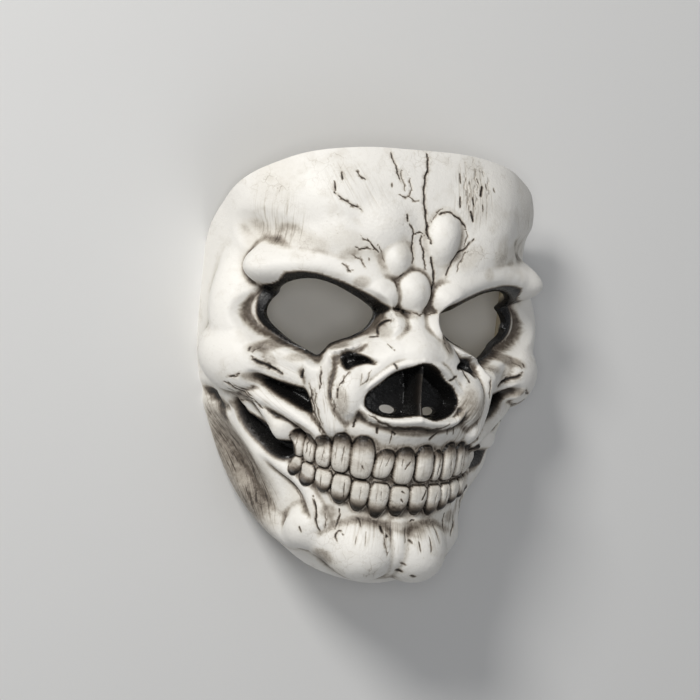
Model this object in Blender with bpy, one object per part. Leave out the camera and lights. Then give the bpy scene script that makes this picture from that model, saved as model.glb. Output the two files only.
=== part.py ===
"""Skull mask: one moulded latex shell and its elastic head strap.

The shell is built the way it is sculpted and cast. A smooth face form is laid
down first; the bone forms are heights over that form, named one by one in
short tables; the shell is the outer surface, an inner surface that follows it
more softly, and the trimmed edges between the two. The mask lies face up on
its trimmed rim. Sizes are in mm in the tables and become metres at the end.
"""
import math

import bmesh
import bpy
import numpy as np
from mathutils import Vector
from mathutils.bvhtree import BVHTree
from mathutils.geometry import delaunay_2d_cdt

MM = 0.001
WALL = 2.6            # latex wall
THIN = 1.5            # thinnest the wall may get under a groove
TABLE_Z = -46.0       # the trimmed side edges lie in this plane
MIDDLE_Y = -26.9      # middle of the mask's length, which becomes the origin
STRAP_WIDTH = 20.0
STRAP_THICK = 1.2
STRAP_Y = 21.0        # where the strap's middle is fixed on the side edges
GAP = 0.35            # between the strap and the wall it lies against

# ---------------------------------------------------------------- base form
# One row for each horizontal section of the smooth face form, in mm in the
# sculptor's frame: x across, y up the face, z out of the face, origin midway
# between the middles of the eye openings.
SIDE_Z = -52.0
SECTION_COLUMNS = ("t", "y_mid", "z_mid", "y_side", "half_w", "power")
SECTIONS = (
    (95.0, 88.0, -16.0, 104.0, 54.0, 2.10),
    (82.0, 80.0, -2.0, 88.0, 60.0, 2.15),
    (66.0, 66.0, 10.0, 71.0, 67.0, 2.30),
    (48.0, 48.0, 17.5, 51.0, 72.5, 2.40),
    (28.0, 28.0, 20.0, 30.0, 73.5, 2.35),
    (8.0, 8.0, 20.0, 9.0, 73.5, 2.25),
    (-12.0, -12.0, 21.0, -11.0, 73.5, 2.20),
    (-32.0, -32.0, 25.0, -30.0, 72.5, 2.15),
    (-52.0, -52.0, 28.5, -48.0, 68.5, 2.20),
    (-70.0, -70.0, 29.5, -63.5, 63.5, 2.26),
    (-87.0, -87.0, 28.0, -78.0, 58.5, 2.24),
    (-103.0, -102.0, 24.0, -91.5, 53.0, 2.15),
    (-118.0, -114.5, 16.0, -104.5, 46.0, 2.08),
    (-131.0, -122.5, 4.0, -116.0, 38.0, 2.00),
    (-146.0, -125.0, -10.0, -125.0, 28.0, 2.00),
)
ARC = 150.0


def hermite(xs, ys, x):
    """Smooth curve through the rows of a table: cubic pieces whose slopes are
    the neighbours' mean slopes."""
    xs, ys = np.asarray(xs, float), np.asarray(ys, float)
    if xs[0] > xs[-1]:
        xs, ys = xs[::-1], ys[::-1]
    d = np.diff(ys) / np.diff(xs)
    m = np.empty_like(ys)
    h = np.diff(xs)
    m[1:-1] = (d[:-1] * h[1:] + d[1:] * h[:-1]) / (h[:-1] + h[1:])
    m[0], m[-1] = d[0], d[-1]
    i = np.clip(np.searchsorted(xs, x) - 1, 0, len(xs) - 2)
    w = (np.clip(x, xs[0], xs[-1]) - xs[i]) / h[i]
    a, b = ys[i], ys[i + 1]
    return (
        (1 + 2 * w) * (1 - w) ** 2 * a
        + w * (1 - w) ** 2 * h[i] * m[i]
        + w * w * (3 - 2 * w) * b
        + w * w * (w - 1) * h[i] * m[i + 1]
    )


_T = np.array([r[0] for r in SECTIONS])


def _row(t, column):
    k = SECTION_COLUMNS.index(column)
    return hermite(_T, [r[k] for r in SECTIONS], t)


def _section(phi, w, f, n):
    c, s = np.cos(phi), np.sin(phi)
    # a plain ellipse angle squared off by the row's power
    rad = (np.abs(s) ** n + np.abs(c) ** n) ** (-1.0 / n)
    return w * s * rad, f * c * rad


def _arc_table():
    ts = np.arange(-146.0, 95.01, 1.0)
    phis = np.linspace(0, math.pi * 0.62, 300)
    w, f, n = _row(ts, "half_w"), _row(ts, "z_mid") - SIDE_Z, _row(ts, "power")
    x, z = _section(phis[None, :], w[:, None], f[:, None], n[:, None])
    z = np.where(phis[None, :] > math.pi / 2, z * 0.6, z)
    step = np.hypot(np.diff(x, axis=1), np.diff(z, axis=1))
    arc = np.concatenate([np.zeros((len(ts), 1)), np.cumsum(step, axis=1)], axis=1)
    ss = np.arange(0, ARC, 1.0)
    table = np.stack([np.interp(ss, a, phis) for a in arc])
    return ts, ss, table


_TS, _SS, _PHI = _arc_table()


def base_point(s, t):
    """The smooth form at arc s across the face and height label t."""
    s, t = np.asarray(s, float), np.asarray(t, float)
    a = np.abs(s)
    i = np.clip(t - _TS[0], 0, len(_TS) - 1.001)
    j = np.clip(a, 0, len(_SS) - 1.001)
    i0, j0 = i.astype(int), j.astype(int)
    fi, fj = i - i0, j - j0
    phi = (
        _PHI[i0, j0] * (1 - fi) * (1 - fj)
        + _PHI[i0 + 1, j0] * fi * (1 - fj)
        + _PHI[i0, j0 + 1] * (1 - fi) * fj
        + _PHI[i0 + 1, j0 + 1] * fi * fj
    )
    w, zm, n = _row(t, "half_w"), _row(t, "z_mid"), _row(t, "power")
    x, z = _section(phi, w, zm - SIDE_Z, n)
    z = np.where(phi > math.pi / 2, z * 0.6, z)
    k = np.sin(np.minimum(phi, math.pi / 2)) ** 2
    y = _row(t, "y_mid") * (1 - k) + _row(t, "y_side") * k
    return np.stack([np.sign(s) * x, y, z + SIDE_Z], -1)


def base_normal(s, t, e=1.5):
    du = base_point(s + e, t) - base_point(s - e, t)
    dv = base_point(s, t + e) - base_point(s, t - e)
    n = np.cross(du, dv)
    return n / np.linalg.norm(n, axis=-1, keepdims=True)


# ---------------------------------------------------------------- field tools
def smax(a, b, k):
    """Rounded union of two heights; k is the fillet in mm."""
    w = np.clip(0.5 + 0.5 * (a - b) / k, 0, 1)
    return b + (a - b) * w + k * w * (1 - w)


def smin(a, b, k):
    return -smax(-a, -b, k)


def step(x, lo, hi):
    w = np.clip((x - lo) / (hi - lo), 0, 1)
    return w * w * (3 - 2 * w)


def oval(s, t, at_s, at_t, a, b, turn):
    """Squared radius in an oval's own units; turn is in degrees, anticlockwise."""
    c, q = math.cos(math.radians(turn)), math.sin(math.radians(turn))
    u, v = (s - at_s) * c + (t - at_t) * q, -(s - at_s) * q + (t - at_t) * c
    return (u / a) ** 2 + (v / b) ** 2


def along(s, t, rows):
    """Nearest distance to a line through rows of (s, t, ...), and the share of
    the rows' other columns at the nearest point."""
    best = np.full(s.shape, 1e9)
    extra = [np.zeros(s.shape) for _ in rows[0][2:]]
    for p, q in zip(rows[:-1], rows[1:]):
        dx, dy = q[0] - p[0], q[1] - p[1]
        w = np.clip(((s - p[0]) * dx + (t - p[1]) * dy) / (dx * dx + dy * dy), 0, 1)
        d = np.hypot(s - p[0] - w * dx, t - p[1] - w * dy)
        near = d < best
        best = np.where(near, d, best)
        for k in range(len(extra)):
            extra[k] = np.where(near, p[k + 2] + w * (q[k + 2] - p[k + 2]), extra[k])
    return best, extra


def smooth_line(rows, parts=6):
    """A Catmull-Rom line through the rows, so bends are round."""
    rows = [tuple(map(float, r)) for r in rows]
    full = [rows[0]] + rows + [rows[-1]]
    out = []
    for a, b, c, d in zip(full, full[1:], full[2:], full[3:]):
        for k in range(parts):
            w = k / parts
            out.append(tuple(
                0.5 * (2 * q + (r - p) * w + (2 * p - 5 * q + 4 * r - u) * w * w + (3 * q - p - 3 * r + u) * w ** 3)
                for p, q, r, u in zip(a, b, c, d)))
    out.append(rows[-1])
    return out


def smooth_loop(rows, parts=5):
    rows = [tuple(map(float, r)) for r in rows]
    n = len(rows)
    out = []
    for i in range(n):
        a, b, c, d = (rows[(i + j - 1) % n] for j in range(4))
        for k in range(parts):
            w = k / parts
            out.append(tuple(
                0.5 * (2 * q + (r - p) * w + (2 * p - 5 * q + 4 * r - u) * w * w + (3 * q - p - 3 * r + u) * w ** 3)
                for p, q, r, u in zip(a, b, c, d)))
    return out


def loop_distance(s, t, loop):
    """Signed distance to a closed outline, negative inside."""
    best = np.full(s.shape, 1e9)
    inside = np.zeros(s.shape, bool)
    n = len(loop)
    for i in range(n):
        (x0, y0), (x1, y1) = loop[i][:2], loop[(i + 1) % n][:2]
        dx, dy = x1 - x0, y1 - y0
        w = np.clip(((s - x0) * dx + (t - y0) * dy) / (dx * dx + dy * dy + 1e-12), 0, 1)
        best = np.minimum(best, (s - x0 - w * dx) ** 2 + (t - y0 - w * dy) ** 2)
        cross = ((y0 > t) != (y1 > t)) & (s < (x1 - x0) * (t - y0) / (y1 - y0 + 1e-12) + x0)
        inside ^= cross
    d = np.sqrt(best)
    return np.where(inside, -d, d)


# ---------------------------------------------------------------- openings
# The opening of the eye at s < 0; the other one is its mirror.
EYE = ((-16.0, -2.5), (-21.5, 1.6), (-29.5, 5.6), (-38.0, 8.8), (-46.5, 9.8), (-54.5, 7.6), (-61.8, 3.2),
       (-66.8, -2.6), (-68.2, -8.8), (-65.0, -14.2), (-57.4, -18.2), (-48.0, -21.2), (-42.4, -22.6), (-39.4, -20.2),
       (-36.3, -17.0), (-31.0, -14.6), (-25.5, -12.6), (-19.0, -8.6))
NOSTRIL = ((-5.8, -42.0), (-8.6, -40.6), (-12.2, -40.8), (-13.6, -42.2), (-12.0, -43.8), (-8.4, -44.2), (-6.2, -43.4))
# The outer edge where the shell is trimmed, from the crown round to the chin.
RIM = ((0.0, 69.0), (20.0, 68.2), (40.0, 64.4), (58.0, 58.5), (75.0, 50.5), (90.0, 41.5), (101.5, 32.0), (108.6, 23.5), (111.2, 14.0),
       (110.9, 4.0), (110.9, -8.0), (111.6, -18.0), (113.0, -30.0), (113.5, -40.0), (113.5, -50.0), (112.0, -60.0), (108.0, -71.0),
       (103.0, -81.0), (96.5, -90.0), (87.5, -99.0), (76.0, -107.0), (62.0, -114.0), (46.0, -120.5), (28.0, -127.0), (0.0, -131.0))

# ---------------------------------------------------------------- large forms
# Broad swellings added first. Each row is one, on the side where s < 0,
# mirrored when both is 1.
BROAD_COLUMNS = ("name", "s", "t", "a", "b", "turn", "rise", "both")
BROAD = (
    ("nose_tent", 0.0, -33.0, 30.0, 30.0, 0.0, 8.0, 0),
    ("muzzle", 0.0, -44.0, 50.0, 30.0, 0.0, 6.0, 0),
    ("dental_arch", 0.0, -74.0, 34.0, 24.0, 0.0, 2.4, 0),
    ("chin_swell", 0.0, -106.0, 34.0, 22.0, 0.0, 6.0, 0),
    ("brow_swell", 0.0, 12.0, 44.0, 24.0, 0.0, 1.5, 0),
    ("frontal_bulge", -40.0, 44.0, 32.0, 22.0, -14.0, 2.6, 1),
    ("temple_bulge", -76.0, 40.0, 26.0, 24.0, -30.0, 2.5, 1),
    ("temple_dip", -62.0, 27.0, 24.0, 9.0, -16.0, -3.0, 1),
    ("temple_notch", -77.0, 26.0, 13.0, 9.0, -10.0, -3.4, 1),
    ("under_boss", -101.0, -53.0, 17.0, 6.0, -14.0, -4.0, 1),
    ("cheek_swell", -84.0, -24.0, 27.0, 36.0, 8.0, 4.0, 1),
    ("flap_hollow", -81.0, -85.0, 38.0, 14.0, -46.0, -5.2, 1),
    ("cheek_hollow", -50.0, -50.0, 24.0, 15.0, -38.0, -6.0, 1),
    ("under_arch", -66.0, -58.0, 17.0, 18.0, -35.0, -7.0, 1),
    ("mouth_corner", -52.0, -68.0, 24.0, 26.0, 0.0, -5.0, 1),
    ("jaw_side", -52.0, -90.0, 24.0, 20.0, -40.0, -4.0, 1),
)
# Round lumps set on the form: top is the height of the crown over the smooth
# form, edge the height at the lump's outline, melt the fillet round it. A full
# lump has the upright sides of a pebble (2 for steep ones), the others are
# shallow domes.
LUMP_COLUMNS = ("name", "s", "t", "a", "b", "turn", "top", "edge", "melt", "full", "both")
LUMPS = (
    ("brow_end", -15.0, 5.8, 7.8, 7.4, 18.0, 7.4, 1.6, 1.6, 1, 1),
    ("glabella", -1.8, 8.2, 8.4, 9.4, 0.0, 7.8, 1.2, 1.4, 1, 0),
    ("oval_high_r", -16.5, 34.5, 13.0, 12.5, 10.0, 4.2, -1.0, 4.5, 0, 0),
    ("oval_low_r", -10.4, 21.4, 7.6, 9.6, 0.0, 5.0, -0.4, 2.4, 0, 0),
    ("oval_l", 11.2, 32.0, 8.8, 12.4, -8.0, 5.0, -0.2, 1.8, 0, 0),
    ("brow_rise_r", -34.0, 29.0, 14.0, 9.0, -20.0, 3.4, -0.5, 3.0, 0, 0),
    ("brow_rise_l", 38.0, 32.0, 17.0, 13.0, 24.0, 4.0, 0.0, 3.0, 0, 0),
    ("cheek_bone", -84.0, -13.0, 13.5, 26.0, 9.0, 9.8, 1.5, 3.0, 0, 1),
    ("cheek_boss", -83.0, -30.0, 18.5, 15.5, 0.0, 12.8, 3.4, 1.8, 1, 1),
    ("nasal_bone", -9.8, -9.4, 8.8, 8.8, 32.0, 8.6, 3.0, 1.4, 0, 1),
    ("alar_lump", -26.5, -36.5, 7.6, 11.2, -14.0, 10.6, 5.4, 0.9, 1, 1),
    ("hole_roof", -30.5, -17.0, 11.5, 4.8, 14.0, 4.6, -1.5, 1.4, 0, 1),
    ("max_head", -40.5, -29.0, 6.6, 8.6, 12.0, 5.8, 1.4, 1.0, 1, 1),
    ("stub_end", -58.5, -58.5, 6.4, 7.0, -35.0, 1.4, -4.5, 1.2, 1, 1),
    ("jaw_lump_r", -39.6, -105.6, 10.0, 9.5, -30.0, 6.4, 0.6, 2.0, 1, 0),
    ("jaw_lump_l", 37.6, -105.0, 9.0, 9.0, 30.0, 3.2, 0.0, 3.0, 0, 0),
    ("chin_lobe", -12.0, -107.0, 15.0, 13.4, 12.0, 13.2, 4.0, 1.6, 0, 1),
)
# Lumps and strands that overhang the eye sockets, set on after those are cut.
LATE_LUMPS = (
    ("orbit_side", -76.0, -6.0, 12.0, 15.0, 10.0, -0.5, -5.5, 2.0, 0, 1),
    ("brow_horn", -67.0, 12.4, 10.6, 7.8, 4.0, 11.6, 0.4, 3.0, 2, 1),
)
LATE_STRANDS = {
    "brow_ridge": (3.0, 6.5, 1, ((-67.0, 12.8, 7.6, 10.6), (-60.5, 13.8, 7.6, 8.8), (-53.0, 15.0, 7.6, 6.4), (-44.0, 16.0, 7.6, 4.9), (-35.0, 15.0, 7.8, 4.2),
                    (-26.0, 12.2, 7.6, 4.6), (-18.0, 8.8, 7.2, 5.6))),
}
# Rounded strands: rows of (s, t, half width, height of its crest).
STRANDS = {
    "brow_slope": (5.0, 4.4, 1, ((-52.0, 20.0, 10.0, 2.6), (-44.0, 21.2, 12.0, 2.6), (-35.0, 20.0, 11.5, 2.6),
                    (-26.0, 15.8, 9.5, 3.4), (-19.0, 11.0, 7.5, 4.6))),
    "lid_ridge": (1.6, 4.0, 1, ((-75.0, -15.0, 4.2, 1.0), (-67.0, -22.0, 4.6, -0.4), (-58.0, -26.4, 5.0, 0.0), (-48.0, -28.0, 5.0, 1.2),
                   (-40.5, -26.5, 4.4, 2.2))),
    "thin_rod": (0.8, 3.0, 1, ((-74.0, -30.4, 2.6, 2.2), (-66.0, -32.2, 2.6, 1.2), (-57.0, -33.8, 2.5, -0.2), (-49.0, -34.6, 2.2, -0.8), (-44.0, -34.6, 2.0, -0.4))),
    "arch_strand": (1.8, 6.5, 1, ((-84.0, -38.0, 7.0, 4.2), (-74.0, -43.2, 6.8, 3.8), (-62.0, -46.8, 6.2, 2.8), (-50.0, -51.0, 5.8, 2.2),
                     (-40.0, -57.2, 5.4, 3.0))),
    "stub": (1.4, 5.0, 1, ((-69.0, -48.0, 5.2, 1.6), (-63.5, -55.0, 5.4, 0.8), (-58.6, -61.0, 5.6, 0.6))),
    "maxilla": (1.2, 5.4, 1, ((-39.6, -30.0, 7.2, 6.0), (-38.0, -38.0, 7.6, 5.8), (-35.6, -46.0, 7.2, 5.4), (-32.6, -53.0, 6.4, 4.8))),
    "ramus_front": (1.4, 4.6, 0, ((-95.0, -50.0, 3.6, 0.2), (-89.0, -59.0, 4.0, -0.6), (-83.0, -67.6, 4.2, -1.0), (-75.0, -72.4, 4.4, -1.2),
                     (-65.0, -75.6, 4.6, -1.2), (-53.0, -81.0, 5.0, -1.0), (-43.0, -87.0, 5.4, -0.2), (-37.0, -92.6, 6.0, 1.6), (-33.6, -99.0, 6.4, 3.4))),
    "ramus_outer": (1.8, 4.0, 1, ((-111.0, -58.0, 5.5, 0.2), (-106.0, -71.0, 5.5, 0.2), (-96.0, -85.0, 5.5, 0.4), (-80.0, -99.0, 6.0, 0.8),
                     (-60.0, -109.0, 7.0, 2.0), (-44.0, -111.5, 8.0, 3.6))),
    "ramus_far": (1.2, 4.6, 0, ((88.0, -55.0, 3.8, 0.0), (80.0, -61.0, 3.8, -1.2), (72.5, -67.5, 3.8, -2.0), (65.0, -74.5, 4.0, -2.6), (58.0, -81.0, 4.2, -2.8),
                   (51.0, -88.0, 4.6, -2.4), (43.0, -94.6, 5.2, -0.8), (36.0, -100.0, 6.0, 1.8))),
    "jaw_to_chin": (2.2, 5.0, 1, ((-40.0, -106.0, 8.0, 3.6), (-31.0, -107.5, 9.0, 5.2), (-20.0, -107.5, 10.0, 8.5))),
    "chin_mid": (1.6, 6.0, 0, ((0.0, -94.0, 7.0, 5.0), (0.0, -101.0, 7.0, 9.0), (0.0, -107.0, 6.0, 9.4), (0.0, -115.0, 5.0, 6.0))),
    "nose_bridge": (2.0, 7.0, 0, ((0.0, 0.0, 7.0, 4.4), (0.0, -7.0, 9.0, 8.0), (0.0, -14.0, 10.5, 12.0), (0.0, -22.0, 11.0, 15.0))),
    "aperture_skirt": (3.0, 5.0, 1, ((0.0, -19.0, 9.0, 14.8), (-10.0, -21.4, 8.0, 12.6), (-18.6, -28.4, 7.0, 9.2), (-25.0, -35.0, 6.0, 7.8), (-26.0, -42.0, 5.0, 6.6))),
    "aperture_rim": (1.0, 3.4, 1, ((0.0, -22.8, 2.6, 15.8), (-9.4, -25.4, 2.2, 13.4), (-16.6, -31.0, 2.0, 9.8), (-21.6, -36.4, 1.8, 8.6),
                      (-22.8, -41.8, 1.8, 8.2), (-18.4, -46.6, 1.9, 9.4), (-9.4, -48.0, 2.0, 12.2), (0.0, -46.9, 2.2, 14.2))),
}
SOCKET = ((-13.5, -2.0), (-21.0, 4.0), (-30.0, 8.8), (-39.0, 11.8), (-48.0, 12.6), (-57.5, 10.8), (-67.0, 5.4),
          (-73.0, -2.5), (-74.0, -10.0), (-68.5, -17.0), (-58.5, -21.4), (-48.0, -23.8), (-41.0, -24.8), (-36.5, -19.4),
          (-31.0, -16.4), (-25.0, -14.4), (-17.0, -10.0))
APERTURE = ((-0.8, -24.2), (-3.9, -25.3), (-8.4, -26.9), (-11.1, -28.4), (-15.6, -32.5), (-18.6, -35.4), (-20.8, -38.0), (-21.2, -41.2),
            (-19.7, -43.8), (-15.3, -46.0), (-9.6, -46.4), (-2.8, -45.3), (1.0, -45.3), (6.0, -46.6), (12.7, -45.4), (17.6, -42.4),
            (19.4, -39.2), (18.6, -35.8), (15.1, -31.9), (12.3, -30.2), (9.5, -27.9), (7.0, -26.0), (3.2, -24.1))
INFRA_HOLE = ((-31.5, -22.0), (-29.0, -19.8), (-25.0, -19.6), (-20.5, -21.6), (-17.8, -24.4), (-21.0, -24.8), (-25.0, -26.2), (-28.5, -28.2), (-31.0, -25.6))
MALAR_GAP = ((-66.5, -35.6), (-58.5, -37.0), (-51.0, -37.8), (-46.4, -38.4), (-44.0, -42.6), (-42.8, -48.4), (-47.4, -47.6), (-54.0, -45.2), (-61.0, -42.4), (-66.5, -39.2))
BACK_GAP = ((-81.0, -49.6), (-77.4, -55.4), (-72.5, -59.0), (-68.0, -62.4), (-62.5, -65.2), (-56.0, -64.8), (-52.6, -66.5), (-52.4, -71.0),
            (-56.0, -74.6), (-63.0, -73.6), (-70.0, -70.2), (-77.0, -65.4), (-82.4, -58.6), (-83.6, -52.0))
# depth of the floor, slope of the wall, how far inside the outline the wall
# starts, fillet, mirrored, outline
CARVE_COLUMNS = ("name", "floor", "slope", "lead", "melt", "both", "outline")
CARVES = (
    ("socket", -6.6, 2.4, 1.6, 1.6, 1, SOCKET),
    ("aperture", -1.0, 10.0, 1.5, 0.8, 0, APERTURE),
    ("infra_hole", -1.5, 2.9, 2.8, 1.0, 1, INFRA_HOLE),
    ("malar_gap", -8.0, 2.6, 3.0, 1.2, 1, MALAR_GAP),
    ("back_gap", -10.0, 2.6, 3.2, 1.2, 1, BACK_GAP),
)
SEPTUM = (0.8, 9.0, 0, ((0.2, -25.0, 2.2, 13.4), (0.2, -33.0, 1.9, 12.0), (0.1, -40.0, 1.9, 12.0), (0.0, -44.8, 2.6, 13.6)))

# One row a tooth, from the far side of s < 0 across; they are uneven, and the
# middle of both rows lies a little to the side of s = 0.
TOOTH_COLUMNS = ("s", "half_w", "t_root", "t_edge", "stand", "lean")
UPPER = (
    (-51.2, 3.1, -58.6, -72.0, 2.8, 0.0), (-44.8, 3.4, -58.6, -72.8, 3.3, 0.0), (-37.2, 4.1, -57.9, -72.8, 3.7, 0.2),
    (-29.0, 4.4, -55.2, -72.9, 4.2, 0.2), (-19.9, 5.1, -55.4, -74.0, 4.6, 0.2), (-10.6, 4.1, -59.8, -72.6, 3.6, 1.3),
    (-1.7, 4.7, -58.5, -74.4, 4.0, 0.2), (7.6, 4.4, -57.2, -73.0, 4.0, 0.0), (14.4, 2.5, -59.2, -72.8, 3.2, 0.2),
    (20.9, 4.1, -56.2, -73.0, 3.8, 0.2), (28.0, 3.1, -56.4, -72.0, 3.4, 0.2), (34.4, 3.3, -58.0, -72.0, 3.2, 0.2),
    (41.0, 3.3, -58.4, -72.0, 3.0, 0.0), (47.6, 3.1, -57.8, -71.2, 2.8, 0.0),
)
LOWER = (
    (-51.6, 2.8, -80.6, -72.4, 2.2, 0.0), (-44.6, 4.0, -83.8, -73.4, 2.8, 0.0), (-36.0, 4.1, -84.0, -73.0, 3.0, -0.2),
    (-27.5, 4.2, -87.2, -73.2, 3.3, -0.3), (-19.1, 4.0, -88.6, -74.4, 3.5, -0.2), (-10.8, 4.3, -89.8, -74.2, 3.4, -0.2),
    (-1.9, 4.5, -88.2, -74.6, 3.3, 0.0), (7.0, 4.3, -87.6, -74.2, 3.3, 0.2), (15.1, 3.7, -88.4, -74.2, 3.3, 0.2),
    (21.7, 3.0, -87.2, -74.2, 3.1, 0.2), (27.8, 3.1, -85.0, -73.4, 3.0, 0.2), (34.2, 3.3, -83.4, -73.2, 2.8, 0.2),
    (40.8, 3.3, -82.6, -72.8, 2.7, 0.0), (47.2, 3.0, -81.4, -72.0, 2.4, 0.0),
)


def sides(both):
    return (1.0, -1.0) if both else (1.0,)


def lump(s, t, row):
    """Height of one lump of a table like LUMPS, falling away outside its outline."""
    _, cs, ct, a, b, turn, top, edge, _, full, _ = row
    d = oval(s, t, cs, ct, a, b, turn)
    if full:
        inner = np.sqrt(np.clip(1 - d, 0, 1)) * (0.7 + 0.3 * np.clip(1 - d, 0, 1))
        fall = 0.9 if full == 1 else 2.6
        return np.where(d < 1, edge + (top - edge) * inner, edge - (top - edge) * fall * (d - 1))
    return top - (top - edge) * d


def tooth_field(s, t):
    """Height that each tooth stands over the gum, where a point lies between
    its root (1) and its biting edge (-1), and how near it is to a gap."""
    stand = np.zeros(s.shape)
    root = np.zeros(s.shape)
    gap = np.full(s.shape, 9.0)
    for rows, upper in ((UPPER, True), (LOWER, False)):
        for at, w, tr, te, h, lean in rows:
            mid, half = (tr + te) / 2, abs(tr - te) / 2
            v = (t - mid) / half * (1 if tr > te else -1)
            # an upper tooth is an arch at its root, a lower one is square at
            # its edge and runs to a blunt point
            if upper:
                wide = w * (1.03 + 0.03 * v - 0.05 * np.clip(-v, 0, 1) ** 2)
                power = np.where(v < 0, 3.4, 2.4)
            else:
                wide = w * (1.02 - 0.05 * v - 0.22 * np.clip(v, 0, 1) ** 2)
                power = np.where(v < 0, 4.0, 2.5)
            u = (s - at - lean * v) / wide
            d = np.abs(u) ** power + np.abs(v) ** power
            here = h * np.clip(1 - d, 0, 1) ** 0.5
            take = here > stand
            root = np.where(take, np.clip(v, -1, 1), root)
            stand = np.maximum(stand, here)
            gap = np.minimum(gap, d)
    return stand, root, gap


def large_form(s, t, teeth=True):
    h = np.zeros(np.shape(s))
    for _, cs, ct, a, b, turn, rise, both in BROAD:
        for m in sides(both):
            h = h + rise * np.clip(1 - oval(s * m, t, cs, ct, a, b, turn), 0, None) ** 2
    # the muzzle falls off beside the teeth into the cheeks
    for row in LUMPS:
        for m in sides(row[-1]):
            h = smax(h, lump(s * m, t, row), row[8])
    for name in STRANDS:
        melt, drop, both, rows = STRANDS[name]
        line = smooth_line(rows, 4)
        for m in sides(both):
            d, (w, crest) = along(s * m, t, line)
            h = smax(h, crest - drop * (d / w) ** 2, melt)
    for name, floor, slope, lead, melt, both, loop in CARVES:
        round_loop = smooth_loop(loop, 4)
        for m in sides(both):
            d = loop_distance(s * m, t, round_loop)
            h = smin(h, floor + slope * np.maximum(d + lead, 0), melt)
    melt, drop, both, rows = SEPTUM
    d, (w, crest) = along(s, t, rows)
    h = smax(h, crest - drop * (d / w) ** 2, melt)
    for row in LATE_LUMPS:
        for m in sides(row[-1]):
            h = smax(h, lump(s * m, t, row), row[8])
    for name in LATE_STRANDS:
        melt, drop, both, rows = LATE_STRANDS[name]
        line = smooth_line(rows, 4)
        for m in sides(both):
            d, (w, crest) = along(s * m, t, line)
            h = smax(h, crest - drop * (d / w) ** 2, melt)
    if teeth:
        stand, _, gap = tooth_field(s, t)
        back = step(np.abs(s), 61, 50)
        bed = back * step(t, -98, -86) * step(t, -52, -59)
        h = h - 1.8 * bed + stand * (0.4 + 0.6 * back)
    return h


# ---------------------------------------------------------------- the mesh
def spaced(loop, step, closed=True):
    """Points every step mm along a line, corners kept round."""
    pts = np.array([p[:2] for p in loop], float)
    if closed:
        pts = np.vstack([pts, pts[:1]])
    run = np.concatenate([[0], np.cumsum(np.hypot(*np.diff(pts, axis=0).T))])
    count = max(int(round(run[-1] / step)), 3)
    at = np.linspace(0, run[-1], count + 1)
    if closed:
        at = at[:-1]
    return np.stack([np.interp(at, run, pts[:, 0]), np.interp(at, run, pts[:, 1])], -1)


def mirrored(pts):
    return np.asarray(pts)[::-1] * (-1, 1)


def inset(pts, by):
    """A closed line moved inward (by > 0) along its own normals."""
    pts = np.asarray(pts)
    run = np.roll(pts, -1, 0) - np.roll(pts, 1, 0)
    normal = np.stack([-run[:, 1], run[:, 0]], -1) / np.linalg.norm(run, axis=1)[:, None]
    area = np.sum(pts[:, 0] * np.roll(pts[:, 1], -1) - np.roll(pts[:, 0], -1) * pts[:, 1])
    return pts + normal * by * (1 if area > 0 else -1)


def rim_loop(step):
    right = spaced(smooth_line(RIM, 6), step, closed=False) * (-1, 1)
    return np.vstack([right, mirrored(right)[1:-1]])


def lattice(step, keep):
    """Points of a triangular lattice, even about the midline, where keep is true."""
    rows = []
    for k, t in enumerate(np.arange(-132, 72, step * 0.866)):
        s = np.arange(0, 118, step) + (k % 2) * step / 2
        s = np.concatenate([-s[::-1], s]) if k % 2 else np.concatenate([-s[:0:-1], s])
        rows.append(np.stack([s, np.full(len(s), t)], -1))
    pts = np.vstack(rows)
    return pts[keep(pts[:, 0], pts[:, 1])]


def keep_clear(pts, lines, gap):
    """Lattice points that are not crowded against the lines' own points."""
    ok = np.ones(len(pts), bool)
    for line in lines:
        d = np.hypot(pts[:, None, 0] - line[None, :, 0], pts[:, None, 1] - line[None, :, 1]).min(1)
        ok &= d > gap
    return pts[ok]


def triangles(points, loops):
    """Delaunay triangles of the points inside the first loop and outside the rest."""
    pts = list(map(tuple, points))
    edges = []
    for loop in loops:
        start, n = len(pts), len(loop)
        pts += list(map(tuple, loop))
        edges += [(start + i, start + (i + 1) % n) for i in range(n)]
    verts, _, faces, source, _, _ = delaunay_2d_cdt([Vector(p) for p in pts], edges, [], 0, 1e-6)
    if len(verts) != len(pts):
        raise ValueError("two points of the net fall together")
    order = [ids[0] for ids in source]
    at = np.array([(v.x, v.y) for v in verts])
    tri = np.array(faces)
    mid = at[tri].mean(1)
    ok = loop_distance(mid[:, 0], mid[:, 1], [tuple(p) for p in loops[0]]) < 0
    for hole in loops[1:]:
        ok &= loop_distance(mid[:, 0], mid[:, 1], [tuple(p) for p in hole]) > 0
    back = np.empty(len(pts), int)
    back[np.arange(len(pts))] = order
    tri = back[tri[ok]]
    # every face turns the same way, outward
    p = np.array(pts)
    a, b, c = p[tri[:, 0]], p[tri[:, 1]], p[tri[:, 2]]
    turn = (b[:, 0] - a[:, 0]) * (c[:, 1] - a[:, 1]) - (b[:, 1] - a[:, 1]) * (c[:, 0] - a[:, 0])
    tri[turn < 0] = tri[turn < 0][:, ::-1]
    return p, tri


def surface(s, t, h):
    return base_point(s, t) + base_normal(s, t) * h[:, None]


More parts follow.
